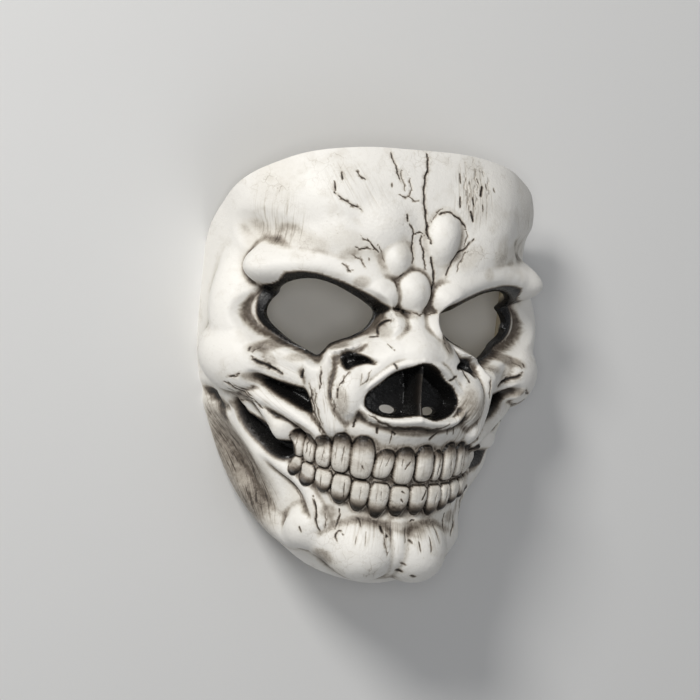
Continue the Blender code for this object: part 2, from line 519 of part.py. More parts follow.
class InnerForm:
    """The softer height that the inner face of the wall follows: the lowest
    outer height near each place, blurred, less the wall."""

    def __init__(self, cell=1.5, reach=3, blur=4):
        self.s0, self.t0, self.cell = -118.0, -134.0, cell
        s, t = np.meshgrid(np.arange(self.s0, 118.1, cell), np.arange(self.t0, 74, cell))
        h = large_form(s, t, teeth=False)
        low = h.copy()
        for i in range(-reach, reach + 1):
            for j in range(-reach, reach + 1):
                if i * i + j * j <= reach * reach + 1:
                    low = np.minimum(low, np.roll(np.roll(h, i, 0), j, 1))
        for _ in range(blur):
            low = (low + np.roll(low, 1, 0) + np.roll(low, -1, 0)) / 3
            low = (low + np.roll(low, 1, 1) + np.roll(low, -1, 1)) / 3
        self.low = low

    def __call__(self, s, t):
        i = np.clip((t - self.t0) / self.cell, 0, self.low.shape[0] - 1.001)
        j = np.clip((s - self.s0) / self.cell, 0, self.low.shape[1] - 1.001)
        a, b = i.astype(int), j.astype(int)
        u, v = i - a, j - b
        g = self.low
        return (g[a, b] * (1 - u) * (1 - v) + g[a + 1, b] * u * (1 - v)
                + g[a, b + 1] * (1 - u) * v + g[a + 1, b + 1] * u * v) - WALL


def in_teeth(s, t):
    """True in the band that the two rows of teeth fill."""
    back = np.abs(s) / 55.0
    return (back < 1.0) & (t < -57.0) & (t > -89.0 + 7.0 * back * back)


def tooth_points():
    """A crest point and a gap point on each tooth, so that its facets follow it."""
    out = []
    for rows in (UPPER, LOWER):
        for at, w, root, edge, _, lean in rows:
            mid, half = (root + edge) / 2, (edge - root) / 2
            for v in (-0.8, -0.3, 0.3, 0.86):
                out.append((at, mid + v * half))
                out.append((at + w * (1.0 if v > -0.5 else 0.92), mid + v * half))
            # the gum line above or below the row
            out.append((at, root + (root - edge) * 0.16))
    return np.array(out)


def make_shell():
    rim = rim_loop(6.0)
    eye = spaced(smooth_loop(EYE, 5), 3.9)
    nostril = spaced(smooth_loop(NOSTRIL, 3), 3.4)
    loops = [rim, eye, mirrored(eye), nostril, mirrored(nostril)]

    crest = spaced(smooth_loop(APERTURE, 4), 3.4)
    socket = spaced(smooth_loop(SOCKET, 4), 5.0)
    teeth = tooth_points()
    ridge = [(0.0, t) for t in np.arange(-29.0, -46.0, -3.8)]
    beside = [(x, t) for t in np.arange(-30.0, -45.0, -3.8) for x in (-3.8, 3.8)]
    lines = [crest, inset(crest, 2.0), inset(crest, -2.2), socket, mirrored(socket), teeth, np.array(ridge), np.array(beside)]
    for name, _, _, _, _, both, outline in CARVES[2:]:
        edge = spaced(smooth_loop(outline, 4), 3.2)
        lines += [edge, mirrored(edge)]
    for table in (LATE_STRANDS, STRANDS):
        for name in table:
            both, rows = table[name][2:]
            if name in ("aperture_rim", "aperture_skirt", "brow_slope"):
                continue
            crest_line = spaced(smooth_line(rows, 4), 3.6, closed=False)
            lines += [crest_line, mirrored(crest_line)] if both else [crest_line]

    def inside(s, t, edge):
        ok = loop_distance(s, t, [tuple(p) for p in loops[0]]) < -edge
        for hole in loops[1:]:
            ok &= loop_distance(s, t, [tuple(p) for p in hole]) > edge
        return ok

    def fine(s, t):
        return (np.abs(s) < 80) & (t > -122) & (t < 30)

    near = lattice(3.25, lambda s, t: fine(s, t) & inside(s, t, 1.9) & ~in_teeth(s, t))
    far = lattice(5.8, lambda s, t: ~fine(s, t) & inside(s, t, 2.8))
    points = np.vstack([keep_clear(near, lines, 1.9), far])
    own = []
    for line in lines:
        line = line[inside(line[:, 0], line[:, 1], 1.2)]
        for other in own:
            if len(line):
                line = keep_clear(line, [other], 1.6)
        if len(line):
            own.append(line)
    points = np.vstack([points] + own)
    outer_at, outer_tri = triangles(points, loops)
    s, t = outer_at.T
    h = large_form(s, t)
    outer = surface(s, t, h)

    count = sum(len(loop) for loop in loops)
    inner_near = lattice(6.4, lambda s, t: (np.abs(s) < 62) & (t > -112) & (t < 16) & inside(s, t, 3.2))
    inner_far = lattice(8.4, lambda s, t: ~((np.abs(s) < 62) & (t > -112) & (t < 16)) & inside(s, t, 3.6))
    inner_at, inner_tri = triangles(np.vstack([inner_near, inner_far]), loops)
    soft = InnerForm()
    hi = soft(*inner_at.T)
    edge_h = h[-count:]
    hi[-count:] = edge_h - WALL
    # no place of the wall is thinner than THIN: sink the inner face where it is
    hull = BVHTree.FromPolygons([tuple(p) for p in outer], [tuple(map(int, f)) for f in outer_tri])
    free = len(inner_at) - count
    for _ in range(8):
        inner = surface(inner_at[:, 0], inner_at[:, 1], hi)
        lift = np.zeros(len(hi))
        for f in inner_tri:
            corner = inner[f]
            for w in ((1 / 3, 1 / 3, 1 / 3), (.5, .5, 0), (0, .5, .5), (.5, 0, .5), (1, 0, 0), (0, 1, 0), (0, 0, 1)):
                d = hull.find_nearest(Vector(np.dot(w, corner)))[3]
                if d < THIN:
                    for k, v in enumerate(f):
                        if w[k] > 0:
                            lift[v] = max(lift[v], THIN + 0.25 - d)
        lift[free:] = 0
        if lift.max() == 0:
            break
        hi = hi - lift
    inner = surface(inner_at[:, 0], inner_at[:, 1], hi)

    # the side edges are trimmed straight and lie in one plane
    def trim(points, at):
        flat = (np.abs(at[:, 0]) > 100) & (at[:, 1] > -58) & (at[:, 1] < 17)
        flat &= np.abs(loop_distance(at[:, 0], at[:, 1], [tuple(p) for p in loops[0]])) < 0.01
        points[flat, 2] = TABLE_Z
        points[:, 2] = np.maximum(points[:, 2], TABLE_Z)
        return points

    outer, inner = trim(outer, outer_at), trim(inner, inner_at)
    verts = np.vstack([outer, inner])
    faces = [tuple(map(int, f)) for f in outer_tri]
    faces += [tuple(int(v) + len(outer) for v in f[::-1]) for f in inner_tri]
    a, b = len(outer) - count, len(outer) + len(inner) - count
    for number, loop in enumerate(loops):
        n = len(loop)
        for i in range(n):
            j = (i + 1) % n
            quad = (a + i, a + j, b + j, b + i)
            faces.append(quad)
        a, b = a + n, b + n
    return verts, faces


def new_object(name, verts, faces, colour, roughness):
    mesh = bpy.data.meshes.new(name)
    verts = (np.asarray(verts) - (0, MIDDLE_Y, TABLE_Z)) * MM
    mesh.from_pydata([tuple(v) for v in verts.tolist()], [], faces)
    mesh.update()
    build = bmesh.new()
    build.from_mesh(mesh)
    bmesh.ops.triangulate(build, faces=build.faces[:])
    bmesh.ops.recalc_face_normals(build, faces=build.faces[:])
    build.to_mesh(mesh)
    build.free()
    mesh.shade_smooth()
    thing = bpy.data.objects.new(name, mesh)
    bpy.context.scene.collection.objects.link(thing)
    paint = bpy.data.materials.new(name)
    paint.use_nodes = True
    shader = paint.node_tree.nodes["Principled BSDF"]
    shader.inputs["Base Color"].default_value = colour
    shader.inputs["Roughness"].default_value = roughness
    shader.inputs["Metallic"].default_value = 0.0
    mesh.materials.append(paint)
    return thing


# ---------------------------------------------------------------- the strap
# The slack band between the side walls: rows across half the mask, from the
# middle out. x is the share of the half span, z the height over the table.
STRAP_ROWS = ((0.00, 9.0), (0.16, 6.5), (0.32, 2.2), (0.46, 1.2), (0.60, 4.2), (0.72, 6.4), (0.84, 4.2))
STRAP_BEND = 8.0       # radius where the band turns off the wall
STRAP_HELD = 14.0      # length that lies against the wall


def make_strap(wall_x):
    """A flat elastic band fixed inside both side edges and lying slack on the
    table between them. wall_x gives the wall's inner face for a height z."""
    half = STRAP_THICK / 2
    low = TABLE_Z + 0.25 + half
    turn_z = low + STRAP_BEND
    x_wall = wall_x - GAP - half
    path = []
    for k in range(4):
        path.append((x_wall, turn_z + STRAP_HELD * (1 - k / 4)))
    for k in range(7):
        a = math.pi / 2 * k / 6
        path.append((x_wall - STRAP_BEND + STRAP_BEND * math.cos(a), turn_z - STRAP_BEND * math.sin(a)))
    span = x_wall - STRAP_BEND
    rows = [(span * r, TABLE_Z + 0.25 + half + z - 1.2) for r, z in STRAP_ROWS]
    wave = smooth_line([(span, low)] + rows[::-1], 4)[1:]
    path += [tuple(p) for p in wave]
    path = path + [(-x, z) for x, z in path[-2::-1]]
    path = np.array(path)
    run = np.gradient(path, axis=0)
    normal = np.stack([-run[:, 1], run[:, 0]], -1) / np.linalg.norm(run, axis=1)[:, None]
    verts, faces = [], []
    n = len(path)
    for (x, z), (nx, nz) in zip(path, normal):
        for side, y in ((1, -1), (1, 1), (-1, 1), (-1, -1)):
            verts.append((x + nx * half * side, STRAP_Y + y * STRAP_WIDTH / 2, z + nz * half * side))
    for i in range(n - 1):
        for k in range(4):
            m = (k + 1) % 4
            faces.append((4 * i + k, 4 * i + m, 4 * i + 4 + m, 4 * i + 4 + k))
    faces += [(3, 2, 1, 0), tuple(4 * (n - 1) + k for k in range(4))]
    length = float(np.hypot(*np.diff(path, axis=0).T).sum())
    return verts, faces, length


for thing in list(bpy.data.objects):
    bpy.data.objects.remove(thing, do_unlink=True)

shell_verts, shell_faces = make_shell()
shell = new_object("mask_shell", shell_verts, shell_faces, (0.86, 0.83, 0.76, 1.0), 0.55)

# the narrowest place of the inner walls where the strap's ends lie
wall = BVHTree.FromPolygons([tuple(v) for v in shell_verts.tolist()], [f[:3] for f in shell_faces] + [(f[0], f[2], f[3]) for f in shell_faces if len(f) == 4])
reach = []
for y in np.linspace(STRAP_Y - STRAP_WIDTH / 2 - 1, STRAP_Y + STRAP_WIDTH / 2 + 1, 9):
    for z in np.linspace(TABLE_Z + 1, TABLE_Z + STRAP_BEND + STRAP_HELD + 4, 9):
        for way in (-1, 1):
            hit = wall.ray_cast(Vector((0, y, z)), Vector((way, 0, 0)))
            if hit[0] is not None:
                reach.append(abs(hit[0].x))
strap_verts, strap_faces, strap_length = make_strap(min(reach))
strap = new_object("head_strap", strap_verts, strap_faces, (0.02, 0.02, 0.022, 1.0), 0.8)
low = np.min(shell_verts, axis=0)
high = np.max(shell_verts, axis=0)
print("shell box mm", low.round(1), high.round(1), "faces", len(shell_faces), "strap mm", round(strap_length), "wall x", round(min(reach), 1))
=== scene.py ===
"""Skull mask: the painted latex shell and its elastic strap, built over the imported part."""
import math

import bpy
import numpy as np
from mathutils import Matrix, Vector
from mathutils.bvhtree import BVHTree
from mathutils.geometry import delaunay_2d_cdt
from mathutils.kdtree import KDTree


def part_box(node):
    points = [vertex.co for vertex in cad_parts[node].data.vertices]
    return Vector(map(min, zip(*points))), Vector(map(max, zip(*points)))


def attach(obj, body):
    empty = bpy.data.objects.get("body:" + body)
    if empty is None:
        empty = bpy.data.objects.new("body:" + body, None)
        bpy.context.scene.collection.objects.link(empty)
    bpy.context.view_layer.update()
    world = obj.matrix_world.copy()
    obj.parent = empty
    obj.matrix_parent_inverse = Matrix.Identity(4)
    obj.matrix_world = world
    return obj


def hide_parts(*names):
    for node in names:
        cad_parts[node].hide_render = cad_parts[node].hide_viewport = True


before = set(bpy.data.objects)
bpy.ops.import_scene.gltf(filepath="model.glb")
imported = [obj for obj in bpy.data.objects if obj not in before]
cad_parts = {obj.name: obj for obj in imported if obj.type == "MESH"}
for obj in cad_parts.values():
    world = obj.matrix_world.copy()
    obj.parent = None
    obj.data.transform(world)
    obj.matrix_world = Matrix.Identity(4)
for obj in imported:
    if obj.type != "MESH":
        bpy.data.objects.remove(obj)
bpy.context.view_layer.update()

MM = 0.001
WALL = 2.6
THIN = 1.5
TABLE_Z = -46.0
MIDDLE_Y = -26.9
STRAP_WIDTH = 20.0
STRAP_THICK = 1.2
STRAP_Y = 21.0

# ---------------------------------------------------------------- base form
# One row for each horizontal section of the smooth face form, in mm in the
# sculptor's frame: x across, y up the face, z out of the face, origin midway
# between the middles of the eye openings.
SIDE_Z = -52.0
SECTION_COLUMNS = ("t", "y_mid", "z_mid", "y_side", "half_w", "power")
SECTIONS = (
    (95.0, 88.0, -16.0, 104.0, 54.0, 2.10),
    (82.0, 80.0, -2.0, 88.0, 60.0, 2.15),
    (66.0, 66.0, 10.0, 71.0, 67.0, 2.30),
    (48.0, 48.0, 17.5, 51.0, 72.5, 2.40),
    (28.0, 28.0, 20.0, 30.0, 73.5, 2.35),
    (8.0, 8.0, 20.0, 9.0, 73.5, 2.25),
    (-12.0, -12.0, 21.0, -11.0, 73.5, 2.20),
    (-32.0, -32.0, 25.0, -30.0, 72.5, 2.15),
    (-52.0, -52.0, 28.5, -48.0, 68.5, 2.20),
    (-70.0, -70.0, 29.5, -63.5, 63.5, 2.26),
    (-87.0, -87.0, 28.0, -78.0, 58.5, 2.24),
    (-103.0, -102.0, 24.0, -91.5, 53.0, 2.15),
    (-118.0, -114.5, 16.0, -104.5, 46.0, 2.08),
    (-131.0, -122.5, 4.0, -116.0, 38.0, 2.00),
    (-146.0, -125.0, -10.0, -125.0, 28.0, 2.00),
)
ARC = 150.0


def hermite(xs, ys, x):
    """Smooth curve through the rows of a table: cubic pieces whose slopes are
    the neighbours' mean slopes."""
    xs, ys = np.asarray(xs, float), np.asarray(ys, float)
    if xs[0] > xs[-1]:
        xs, ys = xs[::-1], ys[::-1]
    d = np.diff(ys) / np.diff(xs)
    m = np.empty_like(ys)
    h = np.diff(xs)
    m[1:-1] = (d[:-1] * h[1:] + d[1:] * h[:-1]) / (h[:-1] + h[1:])
    m[0], m[-1] = d[0], d[-1]
    i = np.clip(np.searchsorted(xs, x) - 1, 0, len(xs) - 2)
    w = (np.clip(x, xs[0], xs[-1]) - xs[i]) / h[i]
    a, b = ys[i], ys[i + 1]
    return (
        (1 + 2 * w) * (1 - w) ** 2 * a
        + w * (1 - w) ** 2 * h[i] * m[i]
        + w * w * (3 - 2 * w) * b
        + w * w * (w - 1) * h[i] * m[i + 1]
    )


_T = np.array([r[0] for r in SECTIONS])


def _row(t, column):
    k = SECTION_COLUMNS.index(column)
    return hermite(_T, [r[k] for r in SECTIONS], t)


def _section(phi, w, f, n):
    c, s = np.cos(phi), np.sin(phi)
    # a plain ellipse angle squared off by the row's power
    rad = (np.abs(s) ** n + np.abs(c) ** n) ** (-1.0 / n)
    return w * s * rad, f * c * rad


def _arc_table():
    ts = np.arange(-146.0, 95.01, 1.0)
    phis = np.linspace(0, math.pi * 0.62, 300)
    w, f, n = _row(ts, "half_w"), _row(ts, "z_mid") - SIDE_Z, _row(ts, "power")
    x, z = _section(phis[None, :], w[:, None], f[:, None], n[:, None])
    z = np.where(phis[None, :] > math.pi / 2, z * 0.6, z)
    step = np.hypot(np.diff(x, axis=1), np.diff(z, axis=1))
    arc = np.concatenate([np.zeros((len(ts), 1)), np.cumsum(step, axis=1)], axis=1)
    ss = np.arange(0, ARC, 1.0)
    table = np.stack([np.interp(ss, a, phis) for a in arc])
    return ts, ss, table


_TS, _SS, _PHI = _arc_table()


def base_point(s, t):
    """The smooth form at arc s across the face and height label t."""
    s, t = np.asarray(s, float), np.asarray(t, float)
    a = np.abs(s)
    i = np.clip(t - _TS[0], 0, len(_TS) - 1.001)
    j = np.clip(a, 0, len(_SS) - 1.001)
    i0, j0 = i.astype(int), j.astype(int)
    fi, fj = i - i0, j - j0
    phi = (
        _PHI[i0, j0] * (1 - fi) * (1 - fj)
        + _PHI[i0 + 1, j0] * fi * (1 - fj)
        + _PHI[i0, j0 + 1] * (1 - fi) * fj
        + _PHI[i0 + 1, j0 + 1] * fi * fj
    )
    w, zm, n = _row(t, "half_w"), _row(t, "z_mid"), _row(t, "power")
    x, z = _section(phi, w, zm - SIDE_Z, n)
    z = np.where(phi > math.pi / 2, z * 0.6, z)
    k = np.sin(np.minimum(phi, math.pi / 2)) ** 2
    y = _row(t, "y_mid") * (1 - k) + _row(t, "y_side") * k
    return np.stack([np.sign(s) * x, y, z + SIDE_Z], -1)


def base_normal(s, t, e=1.5):
    du = base_point(s + e, t) - base_point(s - e, t)
    dv = base_point(s, t + e) - base_point(s, t - e)
    n = np.cross(du, dv)
    return n / np.linalg.norm(n, axis=-1, keepdims=True)


# ---------------------------------------------------------------- field tools
def smax(a, b, k):
    """Rounded union of two heights; k is the fillet in mm."""
    w = np.clip(0.5 + 0.5 * (a - b) / k, 0, 1)
    return b + (a - b) * w + k * w * (1 - w)


def smin(a, b, k):
    return -smax(-a, -b, k)


def step(x, lo, hi):
    w = np.clip((x - lo) / (hi - lo), 0, 1)
    return w * w * (3 - 2 * w)


def oval(s, t, at_s, at_t, a, b, turn):
    """Squared radius in an oval's own units; turn is in degrees, anticlockwise."""
    c, q = math.cos(math.radians(turn)), math.sin(math.radians(turn))
    u, v = (s - at_s) * c + (t - at_t) * q, -(s - at_s) * q + (t - at_t) * c
    return (u / a) ** 2 + (v / b) ** 2


def along(s, t, rows):
    """Nearest distance to a line through rows of (s, t, ...), and the share of
    the rows' other columns at the nearest point."""
    best = np.full(s.shape, 1e9)
    extra = [np.zeros(s.shape) for _ in rows[0][2:]]
    for p, q in zip(rows[:-1], rows[1:]):
        dx, dy = q[0] - p[0], q[1] - p[1]
        w = np.clip(((s - p[0]) * dx + (t - p[1]) * dy) / (dx * dx + dy * dy), 0, 1)
        d = np.hypot(s - p[0] - w * dx, t - p[1] - w * dy)
        near = d < best
        best = np.where(near, d, best)
        for k in range(len(extra)):
            extra[k] = np.where(near, p[k + 2] + w * (q[k + 2] - p[k + 2]), extra[k])
    return best, extra


def smooth_line(rows, parts=6):
    """A Catmull-Rom line through the rows, so bends are round."""
    rows = [tuple(map(float, r)) for r in rows]
    full = [rows[0]] + rows + [rows[-1]]
    out = []
    for a, b, c, d in zip(full, full[1:], full[2:], full[3:]):
        for k in range(parts):
            w = k / parts
            out.append(tuple(
                0.5 * (2 * q + (r - p) * w + (2 * p - 5 * q + 4 * r - u) * w * w + (3 * q - p - 3 * r + u) * w ** 3)
                for p, q, r, u in zip(a, b, c, d)))
    out.append(rows[-1])
    return out


def smooth_loop(rows, parts=5):
    rows = [tuple(map(float, r)) for r in rows]
    n = len(rows)
    out = []
    for i in range(n):
        a, b, c, d = (rows[(i + j - 1) % n] for j in range(4))
        for k in range(parts):
            w = k / parts
            out.append(tuple(
                0.5 * (2 * q + (r - p) * w + (2 * p - 5 * q + 4 * r - u) * w * w + (3 * q - p - 3 * r + u) * w ** 3)
                for p, q, r, u in zip(a, b, c, d)))
    return out


def loop_distance(s, t, loop):
    """Signed distance to a closed outline, negative inside."""
    best = np.full(s.shape, 1e9)
    inside = np.zeros(s.shape, bool)
    n = len(loop)
    for i in range(n):
        (x0, y0), (x1, y1) = loop[i][:2], loop[(i + 1) % n][:2]
        dx, dy = x1 - x0, y1 - y0
        w = np.clip(((s - x0) * dx + (t - y0) * dy) / (dx * dx + dy * dy + 1e-12), 0, 1)
        best = np.minimum(best, (s - x0 - w * dx) ** 2 + (t - y0 - w * dy) ** 2)
        cross = ((y0 > t) != (y1 > t)) & (s < (x1 - x0) * (t - y0) / (y1 - y0 + 1e-12) + x0)
        inside ^= cross
    d = np.sqrt(best)
    return np.where(inside, -d, d)


# ---------------------------------------------------------------- openings
# The opening of the eye at s < 0; the other one is its mirror.
EYE = ((-16.0, -2.5), (-21.5, 1.6), (-29.5, 5.6), (-38.0, 8.8), (-46.5, 9.8), (-54.5, 7.6), (-61.8, 3.2),
       (-66.8, -2.6), (-68.2, -8.8), (-65.0, -14.2), (-57.4, -18.2), (-48.0, -21.2), (-42.4, -22.6), (-39.4, -20.2),
       (-36.3, -17.0), (-31.0, -14.6), (-25.5, -12.6), (-19.0, -8.6))
NOSTRIL = ((-5.8, -42.0), (-8.6, -40.6), (-12.2, -40.8), (-13.6, -42.2), (-12.0, -43.8), (-8.4, -44.2), (-6.2, -43.4))
# The outer edge where the shell is trimmed, from the crown round to the chin.
RIM = ((0.0, 69.0), (20.0, 68.2), (40.0, 64.4), (58.0, 58.5), (75.0, 50.5), (90.0, 41.5), (101.5, 32.0), (108.6, 23.5), (111.2, 14.0),
       (110.9, 4.0), (110.9, -8.0), (111.6, -18.0), (113.0, -30.0), (113.5, -40.0), (113.5, -50.0), (112.0, -60.0), (108.0, -71.0),
       (103.0, -81.0), (96.5, -90.0), (87.5, -99.0), (76.0, -107.0), (62.0, -114.0), (46.0, -120.5), (28.0, -127.0), (0.0, -131.0))

# ---------------------------------------------------------------- large forms
# Broad swellings added first. Each row is one, on the side where s < 0,
# mirrored when both is 1.
BROAD_COLUMNS = ("name", "s", "t", "a", "b", "turn", "rise", "both")
BROAD = (
    ("nose_tent", 0.0, -33.0, 30.0, 30.0, 0.0, 8.0, 0),
    ("muzzle", 0.0, -44.0, 50.0, 30.0, 0.0, 6.0, 0),
    ("dental_arch", 0.0, -74.0, 34.0, 24.0, 0.0, 2.4, 0),
    ("chin_swell", 0.0, -106.0, 34.0, 22.0, 0.0, 6.0, 0),
    ("brow_swell", 0.0, 12.0, 44.0, 24.0, 0.0, 1.5, 0),
    ("frontal_bulge", -40.0, 44.0, 32.0, 22.0, -14.0, 2.6, 1),
    ("temple_bulge", -76.0, 40.0, 26.0, 24.0, -30.0, 2.5, 1),
    ("temple_dip", -62.0, 27.0, 24.0, 9.0, -16.0, -3.0, 1),
    ("temple_notch", -77.0, 26.0, 13.0, 9.0, -10.0, -3.4, 1),
    ("under_boss", -101.0, -53.0, 17.0, 6.0, -14.0, -4.0, 1),
    ("cheek_swell", -84.0, -24.0, 27.0, 36.0, 8.0, 4.0, 1),
    ("flap_hollow", -81.0, -85.0, 38.0, 14.0, -46.0, -5.2, 1),
    ("cheek_hollow", -50.0, -50.0, 24.0, 15.0, -38.0, -6.0, 1),
    ("under_arch", -66.0, -58.0, 17.0, 18.0, -35.0, -7.0, 1),
    ("mouth_corner", -52.0, -68.0, 24.0, 26.0, 0.0, -5.0, 1),
    ("jaw_side", -52.0, -90.0, 24.0, 20.0, -40.0, -4.0, 1),
)
# Round lumps set on the form: top is the height of the crown over the smooth
# form, edge the height at the lump's outline, melt the fillet round it. A full
# lump has the upright sides of a pebble (2 for steep ones), the others are
# shallow domes.
LUMP_COLUMNS = ("name", "s", "t", "a", "b", "turn", "top", "edge", "melt", "full", "both")
LUMPS = (
    ("brow_end", -15.0, 5.8, 7.8, 7.4, 18.0, 7.4, 1.6, 1.6, 1, 1),
    ("glabella", -1.8, 8.2, 8.4, 9.4, 0.0, 7.8, 1.2, 1.4, 1, 0),
    ("oval_high_r", -16.5, 34.5, 13.0, 12.5, 10.0, 4.2, -1.0, 4.5, 0, 0),
    ("oval_low_r", -10.4, 21.4, 7.6, 9.6, 0.0, 5.0, -0.4, 2.4, 0, 0),
    ("oval_l", 11.2, 32.0, 8.8, 12.4, -8.0, 5.0, -0.2, 1.8, 0, 0),
    ("brow_rise_r", -34.0, 29.0, 14.0, 9.0, -20.0, 3.4, -0.5, 3.0, 0, 0),
    ("brow_rise_l", 38.0, 32.0, 17.0, 13.0, 24.0, 4.0, 0.0, 3.0, 0, 0),
    ("cheek_bone", -84.0, -13.0, 13.5, 26.0, 9.0, 9.8, 1.5, 3.0, 0, 1),
    ("cheek_boss", -83.0, -30.0, 18.5, 15.5, 0.0, 12.8, 3.4, 1.8, 1, 1),
    ("nasal_bone", -9.8, -9.4, 8.8, 8.8, 32.0, 8.6, 3.0, 1.4, 0, 1),
    ("alar_lump", -26.5, -36.5, 7.6, 11.2, -14.0, 10.6, 5.4, 0.9, 1, 1),
    ("hole_roof", -30.5, -17.0, 11.5, 4.8, 14.0, 4.6, -1.5, 1.4, 0, 1),
    ("max_head", -40.5, -29.0, 6.6, 8.6, 12.0, 5.8, 1.4, 1.0, 1, 1),
    ("stub_end", -58.5, -58.5, 6.4, 7.0, -35.0, 1.4, -4.5, 1.2, 1, 1),
    ("jaw_lump_r", -39.6, -105.6, 10.0, 9.5, -30.0, 6.4, 0.6, 2.0, 1, 0),
    ("jaw_lump_l", 37.6, -105.0, 9.0, 9.0, 30.0, 3.2, 0.0, 3.0, 0, 0),
    ("chin_lobe", -12.0, -107.0, 15.0, 13.4, 12.0, 13.2, 4.0, 1.6, 0, 1),
)
# Lumps and strands that overhang the eye sockets, set on after those are cut.
LATE_LUMPS = (
    ("orbit_side", -76.0, -6.0, 12.0, 15.0, 10.0, -0.5, -5.5, 2.0, 0, 1),
    ("brow_horn", -67.0, 12.4, 10.6, 7.8, 4.0, 11.6, 0.4, 3.0, 2, 1),
)
LATE_STRANDS = {
    "brow_ridge": (3.0, 6.5, 1, ((-67.0, 12.8, 7.6, 10.6), (-60.5, 13.8, 7.6, 8.8), (-53.0, 15.0, 7.6, 6.4), (-44.0, 16.0, 7.6, 4.9), (-35.0, 15.0, 7.8, 4.2),
                    (-26.0, 12.2, 7.6, 4.6), (-18.0, 8.8, 7.2, 5.6))),
}
# Rounded strands: rows of (s, t, half width, height of its crest).
STRANDS = {
    "brow_slope": (5.0, 4.4, 1, ((-52.0, 20.0, 10.0, 2.6), (-44.0, 21.2, 12.0, 2.6), (-35.0, 20.0, 11.5, 2.6),
                    (-26.0, 15.8, 9.5, 3.4), (-19.0, 11.0, 7.5, 4.6))),
    "lid_ridge": (1.6, 4.0, 1, ((-75.0, -15.0, 4.2, 1.0), (-67.0, -22.0, 4.6, -0.4), (-58.0, -26.4, 5.0, 0.0), (-48.0, -28.0, 5.0, 1.2),
                   (-40.5, -26.5, 4.4, 2.2))),
    "thin_rod": (0.8, 3.0, 1, ((-74.0, -30.4, 2.6, 2.2), (-66.0, -32.2, 2.6, 1.2), (-57.0, -33.8, 2.5, -0.2), (-49.0, -34.6, 2.2, -0.8), (-44.0, -34.6, 2.0, -0.4))),
    "arch_strand": (1.8, 6.5, 1, ((-84.0, -38.0, 7.0, 4.2), (-74.0, -43.2, 6.8, 3.8), (-62.0, -46.8, 6.2, 2.8), (-50.0, -51.0, 5.8, 2.2),
                     (-40.0, -57.2, 5.4, 3.0))),
    "stub": (1.4, 5.0, 1, ((-69.0, -48.0, 5.2, 1.6), (-63.5, -55.0, 5.4, 0.8), (-58.6, -61.0, 5.6, 0.6))),
    "maxilla": (1.2, 5.4, 1, ((-39.6, -30.0, 7.2, 6.0), (-38.0, -38.0, 7.6, 5.8), (-35.6, -46.0, 7.2, 5.4), (-32.6, -53.0, 6.4, 4.8))),
    "ramus_front": (1.4, 4.6, 0, ((-95.0, -50.0, 3.6, 0.2), (-89.0, -59.0, 4.0, -0.6), (-83.0, -67.6, 4.2, -1.0), (-75.0, -72.4, 4.4, -1.2),
                     (-65.0, -75.6, 4.6, -1.2), (-53.0, -81.0, 5.0, -1.0), (-43.0, -87.0, 5.4, -0.2), (-37.0, -92.6, 6.0, 1.6), (-33.6, -99.0, 6.4, 3.4))),
    "ramus_outer": (1.8, 4.0, 1, ((-111.0, -58.0, 5.5, 0.2), (-106.0, -71.0, 5.5, 0.2), (-96.0, -85.0, 5.5, 0.4), (-80.0, -99.0, 6.0, 0.8),
                     (-60.0, -109.0, 7.0, 2.0), (-44.0, -111.5, 8.0, 3.6))),
    "ramus_far": (1.2, 4.6, 0, ((88.0, -55.0, 3.8, 0.0), (80.0, -61.0, 3.8, -1.2), (72.5, -67.5, 3.8, -2.0), (65.0, -74.5, 4.0, -2.6), (58.0, -81.0, 4.2, -2.8),
                   (51.0, -88.0, 4.6, -2.4), (43.0, -94.6, 5.2, -0.8), (36.0, -100.0, 6.0, 1.8))),
    "jaw_to_chin": (2.2, 5.0, 1, ((-40.0, -106.0, 8.0, 3.6), (-31.0, -107.5, 9.0, 5.2), (-20.0, -107.5, 10.0, 8.5))),
    "chin_mid": (1.6, 6.0, 0, ((0.0, -94.0, 7.0, 5.0), (0.0, -101.0, 7.0, 9.0), (0.0, -107.0, 6.0, 9.4), (0.0, -115.0, 5.0, 6.0))),
    "nose_bridge": (2.0, 7.0, 0, ((0.0, 0.0, 7.0, 4.4), (0.0, -7.0, 9.0, 8.0), (0.0, -14.0, 10.5, 12.0), (0.0, -22.0, 11.0, 15.0))),
    "aperture_skirt": (3.0, 5.0, 1, ((0.0, -19.0, 9.0, 14.8), (-10.0, -21.4, 8.0, 12.6), (-18.6, -28.4, 7.0, 9.2), (-25.0, -35.0, 6.0, 7.8), (-26.0, -42.0, 5.0, 6.6))),
    "aperture_rim": (1.0, 3.4, 1, ((0.0, -22.8, 2.6, 15.8), (-9.4, -25.4, 2.2, 13.4), (-16.6, -31.0, 2.0, 9.8), (-21.6, -36.4, 1.8, 8.6),
                      (-22.8, -41.8, 1.8, 8.2), (-18.4, -46.6, 1.9, 9.4), (-9.4, -48.0, 2.0, 12.2), (0.0, -46.9, 2.2, 14.2))),
}
SOCKET = ((-13.5, -2.0), (-21.0, 4.0), (-30.0, 8.8), (-39.0, 11.8), (-48.0, 12.6), (-57.5, 10.8), (-67.0, 5.4),
          (-73.0, -2.5), (-74.0, -10.0), (-68.5, -17.0), (-58.5, -21.4), (-48.0, -23.8), (-41.0, -24.8), (-36.5, -19.4),
          (-31.0, -16.4), (-25.0, -14.4), (-17.0, -10.0))
